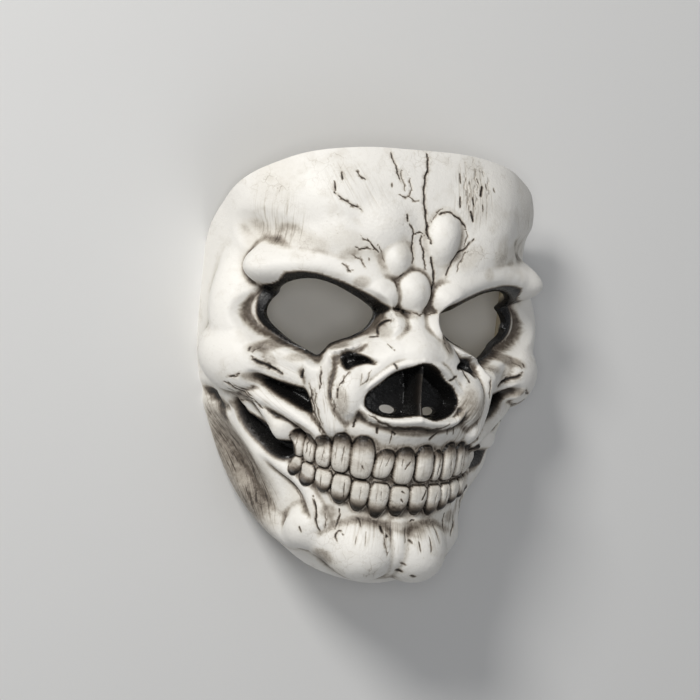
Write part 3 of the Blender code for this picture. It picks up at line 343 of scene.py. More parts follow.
APERTURE = ((-0.8, -24.2), (-3.9, -25.3), (-8.4, -26.9), (-11.1, -28.4), (-15.6, -32.5), (-18.6, -35.4), (-20.8, -38.0), (-21.2, -41.2),
            (-19.7, -43.8), (-15.3, -46.0), (-9.6, -46.4), (-2.8, -45.3), (1.0, -45.3), (6.0, -46.6), (12.7, -45.4), (17.6, -42.4),
            (19.4, -39.2), (18.6, -35.8), (15.1, -31.9), (12.3, -30.2), (9.5, -27.9), (7.0, -26.0), (3.2, -24.1))
INFRA_HOLE = ((-31.5, -22.0), (-29.0, -19.8), (-25.0, -19.6), (-20.5, -21.6), (-17.8, -24.4), (-21.0, -24.8), (-25.0, -26.2), (-28.5, -28.2), (-31.0, -25.6))
MALAR_GAP = ((-66.5, -35.6), (-58.5, -37.0), (-51.0, -37.8), (-46.4, -38.4), (-44.0, -42.6), (-42.8, -48.4), (-47.4, -47.6), (-54.0, -45.2), (-61.0, -42.4), (-66.5, -39.2))
BACK_GAP = ((-81.0, -49.6), (-77.4, -55.4), (-72.5, -59.0), (-68.0, -62.4), (-62.5, -65.2), (-56.0, -64.8), (-52.6, -66.5), (-52.4, -71.0),
            (-56.0, -74.6), (-63.0, -73.6), (-70.0, -70.2), (-77.0, -65.4), (-82.4, -58.6), (-83.6, -52.0))
# depth of the floor, slope of the wall, how far inside the outline the wall
# starts, fillet, mirrored, outline
CARVE_COLUMNS = ("name", "floor", "slope", "lead", "melt", "both", "outline")
CARVES = (
    ("socket", -6.6, 2.4, 1.6, 1.6, 1, SOCKET),
    ("aperture", -1.0, 10.0, 1.5, 0.8, 0, APERTURE),
    ("infra_hole", -1.5, 2.9, 2.8, 1.0, 1, INFRA_HOLE),
    ("malar_gap", -8.0, 2.6, 3.0, 1.2, 1, MALAR_GAP),
    ("back_gap", -10.0, 2.6, 3.2, 1.2, 1, BACK_GAP),
)
SEPTUM = (0.8, 9.0, 0, ((0.2, -25.0, 2.2, 13.4), (0.2, -33.0, 1.9, 12.0), (0.1, -40.0, 1.9, 12.0), (0.0, -44.8, 2.6, 13.6)))

# One row a tooth, from the far side of s < 0 across; they are uneven, and the
# middle of both rows lies a little to the side of s = 0.
TOOTH_COLUMNS = ("s", "half_w", "t_root", "t_edge", "stand", "lean")
UPPER = (
    (-51.2, 3.1, -58.6, -72.0, 2.8, 0.0), (-44.8, 3.4, -58.6, -72.8, 3.3, 0.0), (-37.2, 4.1, -57.9, -72.8, 3.7, 0.2),
    (-29.0, 4.4, -55.2, -72.9, 4.2, 0.2), (-19.9, 5.1, -55.4, -74.0, 4.6, 0.2), (-10.6, 4.1, -59.8, -72.6, 3.6, 1.3),
    (-1.7, 4.7, -58.5, -74.4, 4.0, 0.2), (7.6, 4.4, -57.2, -73.0, 4.0, 0.0), (14.4, 2.5, -59.2, -72.8, 3.2, 0.2),
    (20.9, 4.1, -56.2, -73.0, 3.8, 0.2), (28.0, 3.1, -56.4, -72.0, 3.4, 0.2), (34.4, 3.3, -58.0, -72.0, 3.2, 0.2),
    (41.0, 3.3, -58.4, -72.0, 3.0, 0.0), (47.6, 3.1, -57.8, -71.2, 2.8, 0.0),
)
LOWER = (
    (-51.6, 2.8, -80.6, -72.4, 2.2, 0.0), (-44.6, 4.0, -83.8, -73.4, 2.8, 0.0), (-36.0, 4.1, -84.0, -73.0, 3.0, -0.2),
    (-27.5, 4.2, -87.2, -73.2, 3.3, -0.3), (-19.1, 4.0, -88.6, -74.4, 3.5, -0.2), (-10.8, 4.3, -89.8, -74.2, 3.4, -0.2),
    (-1.9, 4.5, -88.2, -74.6, 3.3, 0.0), (7.0, 4.3, -87.6, -74.2, 3.3, 0.2), (15.1, 3.7, -88.4, -74.2, 3.3, 0.2),
    (21.7, 3.0, -87.2, -74.2, 3.1, 0.2), (27.8, 3.1, -85.0, -73.4, 3.0, 0.2), (34.2, 3.3, -83.4, -73.2, 2.8, 0.2),
    (40.8, 3.3, -82.6, -72.8, 2.7, 0.0), (47.2, 3.0, -81.4, -72.0, 2.4, 0.0),
)


def sides(both):
    return (1.0, -1.0) if both else (1.0,)


def lump(s, t, row):
    """Height of one lump of a table like LUMPS, falling away outside its outline."""
    _, cs, ct, a, b, turn, top, edge, _, full, _ = row
    d = oval(s, t, cs, ct, a, b, turn)
    if full:
        inner = np.sqrt(np.clip(1 - d, 0, 1)) * (0.7 + 0.3 * np.clip(1 - d, 0, 1))
        fall = 0.9 if full == 1 else 2.6
        return np.where(d < 1, edge + (top - edge) * inner, edge - (top - edge) * fall * (d - 1))
    return top - (top - edge) * d


def tooth_field(s, t):
    """Height that each tooth stands over the gum, where a point lies between
    its root (1) and its biting edge (-1), and how near it is to a gap."""
    stand = np.zeros(s.shape)
    root = np.zeros(s.shape)
    gap = np.full(s.shape, 9.0)
    for rows, upper in ((UPPER, True), (LOWER, False)):
        for at, w, tr, te, h, lean in rows:
            mid, half = (tr + te) / 2, abs(tr - te) / 2
            v = (t - mid) / half * (1 if tr > te else -1)
            # an upper tooth is an arch at its root, a lower one is square at
            # its edge and runs to a blunt point
            if upper:
                wide = w * (1.03 + 0.03 * v - 0.05 * np.clip(-v, 0, 1) ** 2)
                power = np.where(v < 0, 3.4, 2.4)
            else:
                wide = w * (1.02 - 0.05 * v - 0.22 * np.clip(v, 0, 1) ** 2)
                power = np.where(v < 0, 4.0, 2.5)
            u = (s - at - lean * v) / wide
            d = np.abs(u) ** power + np.abs(v) ** power
            here = h * np.clip(1 - d, 0, 1) ** 0.5
            take = here > stand
            root = np.where(take, np.clip(v, -1, 1), root)
            stand = np.maximum(stand, here)
            gap = np.minimum(gap, d)
    return stand, root, gap


def large_form(s, t, teeth=True):
    h = np.zeros(np.shape(s))
    for _, cs, ct, a, b, turn, rise, both in BROAD:
        for m in sides(both):
            h = h + rise * np.clip(1 - oval(s * m, t, cs, ct, a, b, turn), 0, None) ** 2
    # the muzzle falls off beside the teeth into the cheeks
    for row in LUMPS:
        for m in sides(row[-1]):
            h = smax(h, lump(s * m, t, row), row[8])
    for name in STRANDS:
        melt, drop, both, rows = STRANDS[name]
        line = smooth_line(rows, 4)
        for m in sides(both):
            d, (w, crest) = along(s * m, t, line)
            h = smax(h, crest - drop * (d / w) ** 2, melt)
    for name, floor, slope, lead, melt, both, loop in CARVES:
        round_loop = smooth_loop(loop, 4)
        for m in sides(both):
            d = loop_distance(s * m, t, round_loop)
            h = smin(h, floor + slope * np.maximum(d + lead, 0), melt)
    melt, drop, both, rows = SEPTUM
    d, (w, crest) = along(s, t, rows)
    h = smax(h, crest - drop * (d / w) ** 2, melt)
    for row in LATE_LUMPS:
        for m in sides(row[-1]):
            h = smax(h, lump(s * m, t, row), row[8])
    for name in LATE_STRANDS:
        melt, drop, both, rows = LATE_STRANDS[name]
        line = smooth_line(rows, 4)
        for m in sides(both):
            d, (w, crest) = along(s * m, t, line)
            h = smax(h, crest - drop * (d / w) ** 2, melt)
    if teeth:
        stand, _, gap = tooth_field(s, t)
        back = step(np.abs(s), 61, 50)
        bed = back * step(t, -98, -86) * step(t, -52, -59)
        h = h - 1.8 * bed + stand * (0.4 + 0.6 * back)
    return h


# ---------------------------------------------------------------- carved lines
# Cracks and grooves cut in the outer face: width and depth in mm, how dark the
# paint in them is, whether they are mirrored, and the line's own (s, t) rows.
GROOVE_COLUMNS = ("name", "width", "depth", "tone", "both", "line")
GROOVES = (
    ("crack_main", 1.15, 1.0, 1.0, 0, ((3.6, 68.0), (3.5, 64.0), (3.2, 60.7), (2.0, 58.3), (1.4, 55.0), (0.8, 50.6), (1.0, 47.3), (1.3, 44.0), (1.8, 41.6), (2.4, 37.6), (3.3, 32.0), (4.4, 29.5))),
    ("crack_main_gape", 2.3, 1.5, 1.0, 0, ((2.0, 40.2), (2.5, 37.6), (2.8, 34.8))),
    ("crack_left", 0.9, 0.8, 0.9, 0, ((-13.4, 67.5), (-12.7, 63.5), (-11.7, 60.5), (-10.9, 58.0), (-10.3, 55.0))),
    ("hair_a", 0.55, 0.4, 0.7, 0, ((-5.5, 57.0), (-5.3, 52.8), (-5.5, 49.0))),
    ("hair_b", 0.55, 0.4, 0.75, 0, ((-11.3, 49.0), (-6.2, 48.6), (-4.0, 47.7), (-0.9, 46.8))),
    ("nick_1", 1.3, 0.9, 0.95, 0, ((-36.2, 54.8), (-35.9, 52.4))),
    ("nick_2", 1.1, 0.9, 0.95, 0, ((-39.2, 50.8), (-38.9, 47.4))),
    ("crack_r", 0.85, 0.7, 0.9, 0, ((-39.2, 46.5), (-33.8, 43.5), (-30.5, 42.3), (-27.3, 41.0))),
    ("crack_r2", 0.8, 0.6, 0.85, 0, ((-30.2, 56.5), (-28.0, 55.2), (-25.6, 53.6))),
    ("column_nick", 1.5, 1.0, 1.0, 0, ((-7.5, 41.0), (-7.1, 38.6))),
    ("column_left", 0.8, 0.8, 0.95, 0, ((-6.8, 37.8), (-3.7, 33.3), (-4.2, 28.6), (-3.2, 24.0), (-3.3, 19.6))),
    ("column_top", 0.7, 0.6, 0.9, 0, ((-3.7, 33.5), (-1.0, 33.8), (1.8, 33.3))),
    ("column_right", 0.8, 0.8, 0.95, 0, ((-0.3, 33.3), (0.8, 28.0), (2.0, 24.0), (2.7, 19.8), (3.5, 18.2))),
    ("oval_top", 1.0, 0.8, 0.9, 0, ((7.0, 41.5), (12.0, 43.5), (19.8, 39.2), (21.5, 36.0))),
    ("oval_under", 1.1, 0.9, 0.9, 0, ((25.3, 32.5), (21.3, 28.0), (17.5, 25.5), (15.0, 20.5), (12.5, 15.5))),
    ("between_brows", 1.2, 1.0, 1.0, 0, ((5.0, 24.3), (7.4, 16.5), (7.6, 13.3), (7.1, 9.8), (6.2, 5.3), (5.0, 1.5))),
    ("brow_nick", 1.1, 0.9, 1.0, 0, ((-10.5, 13.5), (-8.2, 15.0), (-6.2, 16.3))),
    ("brow_fall", 0.9, 0.7, 0.9, 0, ((-10.6, 13.3), (-10.1, 10.5), (-10.0, 7.5))),
    ("fore_1", 0.95, 0.8, 0.95, 0, ((18.9, 59.7), (19.0, 55.9))),
    ("fore_2", 1.1, 0.8, 0.95, 0, ((18.3, 50.2), (18.2, 46.0))),
    ("fore_3", 0.95, 0.7, 0.9, 0, ((24.3, 50.0), (24.6, 46.8))),
    ("fore_4", 1.5, 1.0, 1.0, 0, ((23.2, 44.0), (24.4, 40.3))),
    ("fore_5", 0.8, 0.6, 0.9, 0, ((27.6, 57.8), (28.2, 55.4))),
    ("fore_6", 1.9, 1.2, 1.0, 0, ((29.8, 54.4), (28.6, 51.0))),
    ("fore_7", 0.5, 0.3, 0.40, 0, ((26.8, 62.0), (27.1, 57.0), (27.3, 51.5))),
    ("fore_8", 1.0, 0.7, 0.85, 0, ((32.0, 54.8), (32.0, 53.4))),
    ("fore_9", 1.0, 0.7, 0.85, 0, ((29.2, 46.2), (29.2, 44.8))),
    ("fore_10", 0.5, 0.4, 0.6, 0, ((31.5, 61.5), (31.5, 59.0))),
    ("fore_pit_l", 1.2, 0.6, 0.8, 0, ((36.0, 53.3), (36.1, 52.7))),
    ("fore_pit_r", 1.3, 0.6, 0.8, 0, ((-14.0, 53.1), (-14.0, 52.4))),
    ("low_r1", 0.95, 0.8, 0.9, 0, ((-24.2, 29.0), (-21.2, 26.0), (-19.0, 23.6))),
    ("low_r2", 0.8, 0.6, 0.85, 0, ((-29.5, 25.5), (-26.0, 25.0), (-21.4, 25.4))),
    ("low_r3", 0.85, 0.6, 0.85, 0, ((-33.5, 18.0), (-30.6, 16.0), (-29.0, 15.8))),
    ("low_pit", 1.2, 0.6, 0.8, 0, ((-22.8, 21.1), (-22.8, 20.5))),
    ("fore_11", 0.5, 0.3, 0.34, 0, ((21.4, 60.4), (21.2, 55.0), (20.6, 49.0))),
    ("fore_12", 0.5, 0.3, 0.30, 0, ((23.0, 57.0), (22.6, 51.0), (21.6, 44.6))),
    ("fore_13", 0.5, 0.3, 0.34, 0, ((25.6, 56.0), (26.0, 50.4), (25.6, 45.6))),
    ("fore_14", 0.5, 0.3, 0.30, 0, ((33.6, 58.6), (33.2, 54.0), (31.8, 49.0))),
    ("oval_top_b", 0.6, 0.4, 0.6, 0, ((4.6, 38.4), (6.0, 41.4), (9.4, 44.6))),
    ("oval_side", 0.6, 0.4, 0.6, 0, ((20.4, 37.0), (22.2, 33.0), (20.6, 28.6))),
    ("low_r4", 0.6, 0.4, 0.7, 0, ((-27.6, 30.6), (-24.6, 28.6), (-22.4, 27.8))),
    ("low_r5", 0.6, 0.4, 0.65, 0, ((-19.4, 27.4), (-17.2, 22.6), (-15.4, 19.4))),
    ("low_r6", 0.6, 0.4, 0.6, 0, ((-31.6, 22.4), (-27.4, 21.0), (-23.6, 17.6))),
    ("mid_hair", 0.6, 0.4, 0.6, 0, ((-9.6, 60.0), (-9.2, 55.6), (-7.8, 51.4))),
    ("oval_under_b", 0.6, 0.4, 0.6, 0, ((23.4, 27.4), (20.0, 23.4), (17.4, 18.0))),
    ("under_brow", 1.4, 0.9, 1.0, 0, ((-11.0, 0.9), (-8.5, 0.6), (-6.0, -0.2), (-4.0, -0.7))),
    ("under_brow_2", 0.8, 0.5, 0.75, 0, ((-4.0, -0.7), (1.0, -1.0), (4.5, -0.7), (10.0, -0.4))),
    ("nose_crack", 1.35, 1.1, 1.0, 0, ((-10.6, -4.5), (-12.0, -5.0), (-13.6, -6.5), (-15.0, -8.2), (-15.6, -10.8), (-16.0, -12.2))),
    ("nose_branch", 0.9, 0.7, 0.95, 0, ((-15.9, -12.2), (-18.8, -12.7))),
    ("nose_hair", 0.6, 0.4, 0.75, 0, ((-13.0, -15.3), (-12.4, -17.0), (-11.6, -18.6))),
    ("nose_left_a", 1.1, 0.8, 0.9, 0, ((10.8, -9.5), (11.4, -11.5), (11.8, -13.5))),
    ("nose_left_b", 0.9, 0.6, 0.8, 0, ((11.5, -15.0), (12.4, -18.0))),
    ("hole_tail", 0.65, 0.5, 0.75, 0, ((-27.5, -27.5), (-29.0, -31.0), (-30.8, -33.5), (-31.3, -36.0))),
    ("hole_tail_l", 1.3, 0.9, 0.95, 0, ((20.5, -24.0), (21.6, -26.6), (23.2, -30.0))),
    ("side_a", 0.55, 0.35, 0.6, 0, ((-19.6, -27.5), (-20.0, -30.0), (-21.5, -32.5), (-23.5, -35.0))),
    ("side_b", 0.55, 0.35, 0.5, 0, ((-22.8, -29.0), (-23.3, -34.0))),
    ("rim_nick_r", 1.3, 1.0, 1.0, 0, ((-10.9, -24.6), (-10.2, -26.4))),
    ("rim_nick_l", 1.8, 1.2, 1.0, 0, ((13.6, -29.6), (16.6, -28.0))),
    ("column_1", 1.25, 0.9, 0.95, 1, ((-31.6, -35.3), (-31.9, -38.0), (-31.8, -40.2))),
    ("column_2", 1.1, 0.7, 0.85, 0, ((-34.6, -38.7), (-34.4, -40.2))),
    ("column_3", 0.8, 0.6, 0.7, 1, ((-33.2, -40.5), (-32.8, -45.0), (-32.5, -49.5))),
    ("column_4", 0.9, 0.7, 0.8, 1, ((-38.9, -28.0), (-38.7, -31.5), (-38.9, -37.5))),
    ("column_5", 0.85, 0.7, 0.8, 1, ((-43.4, -35.0), (-42.4, -41.0), (-41.0, -47.5), (-37.8, -57.0))),
    ("column_6", 0.6, 0.4, 0.6, 1, ((-41.0, -38.0), (-40.0, -46.0), (-37.0, -54.0))),
    ("gum_pit_1", 1.7, 0.9, 0.95, 0, ((-24.2, -48.6), (-24.8, -51.4))),
    ("gum_pit_2", 1.5, 0.9, 0.9, 0, ((-15.5, -50.8), (-15.2, -53.0))),
    ("gum_pit_3", 2.1, 1.1, 1.0, 0, ((-9.3, -52.0), (-8.2, -52.8))),
    ("gum_hair_3", 0.7, 0.5, 0.8, 0, ((-9.4, -52.8), (-9.3, -56.5))),
    ("gum_pit_4", 1.7, 1.0, 0.95, 0, ((9.6, -51.2), (8.2, -53.2), (7.4, -54.6))),
    ("gum_pit_5", 1.3, 0.8, 0.9, 0, ((15.2, -49.2), (16.0, -51.8))),
    ("gum_pit_6", 1.0, 0.7, 0.85, 0, ((19.4, -48.6), (20.0, -52.0))),
    ("lip_line", 0.9, 0.7, 0.85, 0, ((-19.6, -45.6), (-15.0, -48.4), (-10.0, -50.0), (-4.0, -50.4), (3.0, -50.4), (9.5, -49.8), (13.0, -48.0))),
    ("cheek_nick", 1.2, 0.8, 0.95, 1, ((-77.4, -37.6), (-73.6, -36.2), (-71.4, -34.6))),
    ("wrinkle_1", 0.85, 0.8, 0.85, 1, ((-80.0, -39.6), (-76.0, -42.5), (-72.5, -45.6), (-69.2, -47.8), (-66.4, -50.4))),
    ("wrinkle_2", 0.75, 0.7, 0.8, 1, ((-76.6, -40.6), (-73.0, -43.5), (-69.6, -46.0))),
    ("wrinkle_3", 0.75, 0.6, 0.75, 1, ((-80.0, -43.2), (-76.2, -46.8), (-72.0, -48.2), (-68.6, -48.6))),
    ("wrinkle_4", 1.0, 0.8, 0.9, 1, ((-69.0, -48.6), (-67.4, -50.2), (-65.6, -50.8))),
    ("wrinkle_5", 0.6, 0.5, 0.65, 1, ((-84.0, -45.6), (-78.5, -49.0), (-73.5, -50.0))),
    ("cheek_pit_1", 1.3, 0.5, 0.8, 1, ((-68.8, -24.0), (-68.8, -24.8))),
    ("cheek_pit_2", 1.3, 0.4, 0.55, 0, ((-96.6, -28.0), (-96.8, -29.4))),
    ("cheek_pit_3", 1.0, 0.4, 0.5, 0, ((-91.0, -15.0), (-91.0, -15.8))),
    ("lid_gap", 2.2, 1.4, 1.0, 1, ((-67.6, -27.8), (-65.0, -29.6), (-61.0, -31.6), (-57.0, -33.2))),
    ("lid_notch", 2.0, 1.4, 1.0, 1, ((-46.6, -30.2), (-48.2, -33.4))),
    ("cheek_scar", 0.7, 0.5, 0.65, 1, ((-64.0, -19.5), (-66.0, -23.0), (-67.4, -26.0))),
    ("ramus_1", 1.0, 0.8, 0.8, 1, ((-53.5, -85.6), (-49.5, -88.6), (-44.0, -92.6))),
    ("ramus_2", 0.6, 0.5, 0.65, 1, ((-51.0, -88.6), (-46.5, -92.4), (-42.5, -95.4))),
    ("jaw_crack", 1.1, 0.9, 0.9, 1, ((-39.4, -87.6), (-36.4, -91.8), (-34.4, -97.0), (-32.0, -100.4))),
    ("jaw_hair", 0.6, 0.4, 0.6, 0, ((-33.0, -91.0), (-31.0, -96.0), (-29.4, -100.0))),
    ("jaw_crack_2", 1.1, 0.8, 0.85, 1, ((-26.5, -90.0), (-25.8, -94.5), (-26.6, -98.6))),
    ("jaw_arch", 1.0, 0.7, 0.75, 0, ((-19.6, -92.2), (-18.2, -91.8), (-16.8, -92.8), (-16.0, -95.0))),
    ("jaw_mark", 1.6, 1.0, 1.0, 0, ((-8.6, -91.6), (-7.8, -94.4), (-5.6, -96.0))),
    ("jaw_line_a", 0.6, 0.4, 0.6, 0, ((-7.2, -95.5), (-5.8, -99.0), (-5.2, -102.5))),
    ("jaw_line_b", 0.6, 0.4, 0.5, 0, ((-14.0, -95.5), (-13.6, -99.5))),
    ("jaw_line_c", 0.6, 0.4, 0.5, 0, ((-17.4, -96.5), (-17.0, -99.5))),
    ("jaw_line_d", 0.7, 0.5, 0.6, 0, ((2.5, -93.0), (2.2, -97.0))),
    ("jaw_line_e", 0.9, 0.6, 0.75, 0, ((7.6, -97.4), (7.8, -99.8))),
    ("jaw_line_f", 0.9, 0.6, 0.7, 0, ((12.6, -96.0), (12.0, -100.4))),
    ("jaw_line_g", 0.8, 0.6, 0.7, 0, ((17.6, -92.4), (17.2, -98.0))),
    ("jaw_mark_l", 1.0, 0.7, 0.85, 0, ((4.6, -91.6), (6.2, -90.2), (8.0, -90.4))),
    ("jaw_pit", 1.5, 0.7, 0.85, 0, ((4.2, -97.2), (5.0, -97.8))),
    ("chin_ring", 0.9, 0.6, 0.8, 0, ((-22.4, -98.4), (-23.8, -98.0), (-25.0, -99.0), (-24.8, -100.8), (-23.2, -101.4))),
    ("chin_nick", 1.0, 0.5, 0.8, 0, ((-40.2, -100.4), (-38.4, -102.2))),
    ("chin_pit_1", 1.4, 0.6, 0.75, 0, ((1.6, -105.6), (3.0, -106.0))),
    ("chin_pit_2", 2.3, 0.9, 0.95, 0, ((1.4, -109.4), (2.8, -109.8))),
    ("chin_pit_3", 1.8, 0.8, 0.9, 0, ((6.4, -110.2), (7.6, -110.6))),
    ("tooth_chip_1", 1.1, 0.7, 0.9, 0, ((-1.6, -76.8), (-0.6, -77.4))),
    ("tooth_chip_2", 1.2, 0.7, 0.95, 0, ((-1.6, -80.2), (-0.8, -81.2))),
    ("tooth_chip_3", 1.2, 0.7, 0.95, 0, ((9.6, -76.4), (8.2, -80.0))),
    ("tooth_line_1", 0.6, 0.4, 0.75, 0, ((0.4, -62.4), (-0.8, -64.6), (-1.8, -67.4))),
    ("tooth_line_1b", 0.5, 0.3, 0.6, 0, ((-3.4, -61.6), (-3.6, -66.0))),
    ("tooth_line_2", 0.5, 0.3, 0.65, 0, ((-8.4, -61.8), (-10.4, -66.4))),
    ("tooth_line_2b", 0.5, 0.3, 0.5, 0, ((-11.6, -62.6), (-12.6, -67.4))),
    ("tooth_line_3", 0.5, 0.3, 0.55, 0, ((-27.6, -58.4), (-28.0, -65.0))),
    ("tooth_line_3b", 0.5, 0.3, 0.45, 0, ((-30.8, -59.6), (-31.2, -68.0))),
    ("tooth_line_4", 0.5, 0.3, 0.55, 0, ((-36.4, -60.4), (-37.0, -68.5))),
    ("tooth_line_5", 0.6, 0.4, 0.8, 0, ((-44.4, -59.6), (-45.4, -64.0), (-45.8, -68.5))),
    ("tooth_line_5b", 0.5, 0.3, 0.6, 0, ((-43.2, -61.0), (-43.8, -69.5))),
    ("tooth_line_6", 0.5, 0.3, 0.6, 0, ((-51.2, -60.4), (-51.6, -68.0))),
    ("tooth_line_7", 0.5, 0.3, 0.5, 0, ((-10.6, -76.2), (-10.2, -81.0))),
    ("tooth_line_7b", 0.5, 0.3, 0.35, 0, ((-12.2, -78.0), (-12.0, -84.0))),
    ("tooth_line_8", 0.5, 0.3, 0.45, 0, ((-19.0, -77.0), (-18.8, -83.0))),
    ("tooth_line_8b", 0.6, 0.4, 0.8, 0, ((-26.0, -76.6), (-25.6, -82.6))),
    ("tooth_line_8c", 0.6, 0.4, 0.7, 0, ((-36.6, -75.4), (-36.2, -80.4))),
    ("tooth_line_9", 0.6, 0.4, 0.65, 0, ((20.6, -62.0), (21.4, -70.4))),
    ("tooth_line_10", 0.6, 0.4, 0.65, 0, ((14.8, -62.0), (14.2, -70.0))),
    ("tooth_line_11", 0.5, 0.3, 0.5, 0, ((15.4, -77.0), (15.0, -84.0))),
    ("tooth_line_12", 0.5, 0.3, 0.6, 0, ((21.8, -76.4), (21.4, -83.0))),
    ("tooth_line_13", 0.5, 0.3, 0.5, 1, ((28.0, -60.0), (28.2, -69.0))),
    ("tooth_spot", 1.1, 0.4, 0.6, 0, ((-19.8, -67.8), (-19.4, -68.6))),
)

# ---------------------------------------------------------------- paint
# The outline of the black round an eye opening, just outside the opening.
SOCKET_PAINT = ((-11.6, 0.4), (-15.5, 2.9), (-21.0, 5.8), (-27.0, 8.2), (-33.0, 10.2), (-40.0, 11.8), (-46.0, 12.8), (-52.5, 12.4),
                (-59.0, 10.0), (-65.6, 6.0), (-70.4, 0.6), (-71.6, -5.0), (-70.8, -11.2), (-66.6, -15.8), (-58.0, -19.6),
                (-48.3, -22.4), (-42.2, -23.8), (-38.4, -21.2), (-35.4, -18.0), (-30.6, -15.7), (-25.2, -13.7), (-18.6, -9.8), (-14.8, -4.6))
# outline, where the black starts (mm outside the line) and where it is full
BLACK_COLUMNS = ("outline", "starts", "full", "both")
BLACKS = (
    (SOCKET_PAINT, 0.9, -0.9, 1),
    (APERTURE, 0.55, -0.25, 0),
    (INFRA_HOLE, 0.8, -0.9, 1),
    (MALAR_GAP, 1.6, -0.8, 1),
    (BACK_GAP, 1.8, -0.8, 1),
)
# Airbrushed washes, and painted shade under overhangs and between parts (under the lip of the nose opening, the cheek
# boss, the brow horn and the chin, and between the cheek and the jaw): centre, half sizes, turn, strength, mirrored.
WASH_AND_SHADE_COLUMNS = ("s", "t", "a", "b", "turn", "tone", "both")
WASHES_AND_PAINTED_SHADE = (
    # painted shade under the lip of the nose opening
    (-1.0, -51.4, 15.5, 2.6, 0.0, 0.50, 0),
    (41.0, 27.0, 5.5, 9.0, -12.0, 0.13, 0),
    (34.5, 17.5, 3.4, 3.6, 0.0, 0.16, 0),
    (-31.0, 22.0, 6.0, 3.5, 10.0, 0.22, 0),
    (-25.0, 11.0, 4.5, 3.6, 20.0, 0.26, 0),
    (13.5, -13.0, 4.4, 9.0, -8.0, 0.34, 0),
    (-14.0, -9.0, 3.6, 6.0, 10.0, 0.22, 0),
    (-62.0, -21.0, 10.5, 3.6, 24.0, 0.46, 1),
    (-50.0, -25.0, 8.0, 2.6, 12.0, 0.26, 1),
    (-33.0, -17.6, 8.0, 2.2, 12.0, 0.42, 1),
    (-84.0, -87.0, 46.0, 19.0, -46.0, 0.36, 1),
    (-96.0, -73.0, 28.0, 9.0, -56.0, 0.16, 1),
    (-70.0, -102.0, 12.0, 9.0, -30.0, 0.16, 1),
    # painted shadow under the cheek boss
    (-101.0, -53.0, 15.0, 3.6, -14.0, 0.80, 1),
    (-66.0, 50.0, 14.0, 18.0, 0.0, 0.07, 1),
    (-8.0, 27.0, 5.0, 7.0, 0.0, 0.10, 0),
    (24.0, 24.0, 9.0, 5.0, 40.0, 0.14, 0),
    (26.0, 50.0, 9.0, 14.0, 0.0, 0.12, 0),
    # painted shade under the cheek boss
    (-84.0, -53.5, 6.0, 2.4, -20.0, 0.40, 1),
    # black over the gap beside the far end of the teeth, where no hollow is cut: painted shade as well as the black
    # paint of the gaps, this row and the next
    (50.0, -82.0, 14.0, 3.4, -50.0, 1.0, 0),
    (57.0, -70.0, 9.0, 8.0, 0.0, 0.9, 0),
    (-30.0, 27.0, 16.0, 6.0, -16.0, 0.10, 0),
    (-50.0, 26.0, 16.0, 5.0, -12.0, 0.12, 1),
    # painted shadow between the cheek and the jaw's outer ridge
    (-96.0, -57.0, 12.0, 4.0, -52.0, 0.55, 1),
    (-78.0, -48.0, 10.0, 3.6, 20.0, 0.34, 1),
    (-66.0, -37.4, 8.0, 3.0, -14.0, 0.42, 1),
    (-59.0, -52.4, 6.0, 2.4, -20.0, 0.34, 1),
    (-49.5, -79.0, 7.5, 2.4, -34.0, 0.60, 1),
    (-27.0, -111.0, 6.5, 5.0, 20.0, 0.34, 1),
    # painted shade under the chin, this row and the next
    (-20.0, -119.0, 12.0, 6.0, -16.0, 0.40, 1),
    (0.0, -119.0, 8.0, 7.0, 0.0, 0.34, 0),
    (-31.0, -92.0, 5.0, 4.0, 0.0, 0.28, 1),
    (-30.0, -42.0, 3.4, 8.0, 4.0, 0.26, 1),
    (-22.0, -46.5, 3.6, 2.2, -30.0, 0.36, 1),
    (0.0, -92.5, 26.0, 2.6, 0.0, 0.24, 0),
    (6.0, -94.5, 8.0, 2.6, 0.0, 0.24, 0),
    # painted shade under the brow horn
    (-66.0, 2.0, 6.0, 3.4, -34.0, 0.30, 1),
    (-4.0, -2.0, 7.0, 1.6, 0.0, 0.24, 0),
    (23.5, -40.0, 5.0, 10.0, 0.0, 0.30, 0),
    (-46.0, -56.5, 8.0, 2.0, -24.0, 0.34, 1),
)
# Fine streaks: centre, half sizes, turn, strength, direction the streaks run
# in degrees from the s axis, mirrored.
GRAIN_COLUMNS = ("s", "t", "a", "b", "turn", "amount", "runs", "both")
GRAINS = (
    (-64.0, 33.0, 16.0, 13.0, 0.0, 0.75, 84.0, 1),
    (-84.0, -84.0, 48.0, 15.0, -46.0, 1.0, -46.0, 1),
    (25.0, 51.0, 12.0, 16.0, 0.0, 0.85, 88.0, 0),
    (-30.0, 50.0, 16.0, 12.0, 0.0, 0.45, -60.0, 0),
    (-66.0, -46.0, 17.0, 7.0, -20.0, 0.55, -32.0, 1),
    (-34.0, -44.0, 9.0, 17.0, 12.0, 0.6, -80.0, 1),
    (0.0, -96.0, 30.0, 6.0, 0.0, 0.75, 90.0, 0),
    (36.0, -86.0, 10.0, 22.0, 0.0, 0.8, 84.0, 0),
    (22.0, -46.0, 10.0, 12.0, 0.0, 0.75, 70.0, 0),
    (0.0, -68.0, 54.0, 16.0, 0.0, 0.35, 90.0, 0),
    (-57.0, -30.0, 12.0, 6.0, -14.0, 0.35, -20.0, 1),
)


# ---------------------------------------------------------------- the mesh
def spaced(loop, gap, closed=True):
    """Points every gap mm along a line."""
    pts = np.array([p[:2] for p in loop], float)
    if closed:
        pts = np.vstack([pts, pts[:1]])
    run = np.concatenate([[0], np.cumsum(np.hypot(*np.diff(pts, axis=0).T))])
    count = max(int(round(run[-1] / gap)), 3 if closed else 1)
    at = np.linspace(0, run[-1], count + 1)
    if closed:
        at = at[:-1]
    return np.stack([np.interp(at, run, pts[:, 0]), np.interp(at, run, pts[:, 1])], -1)


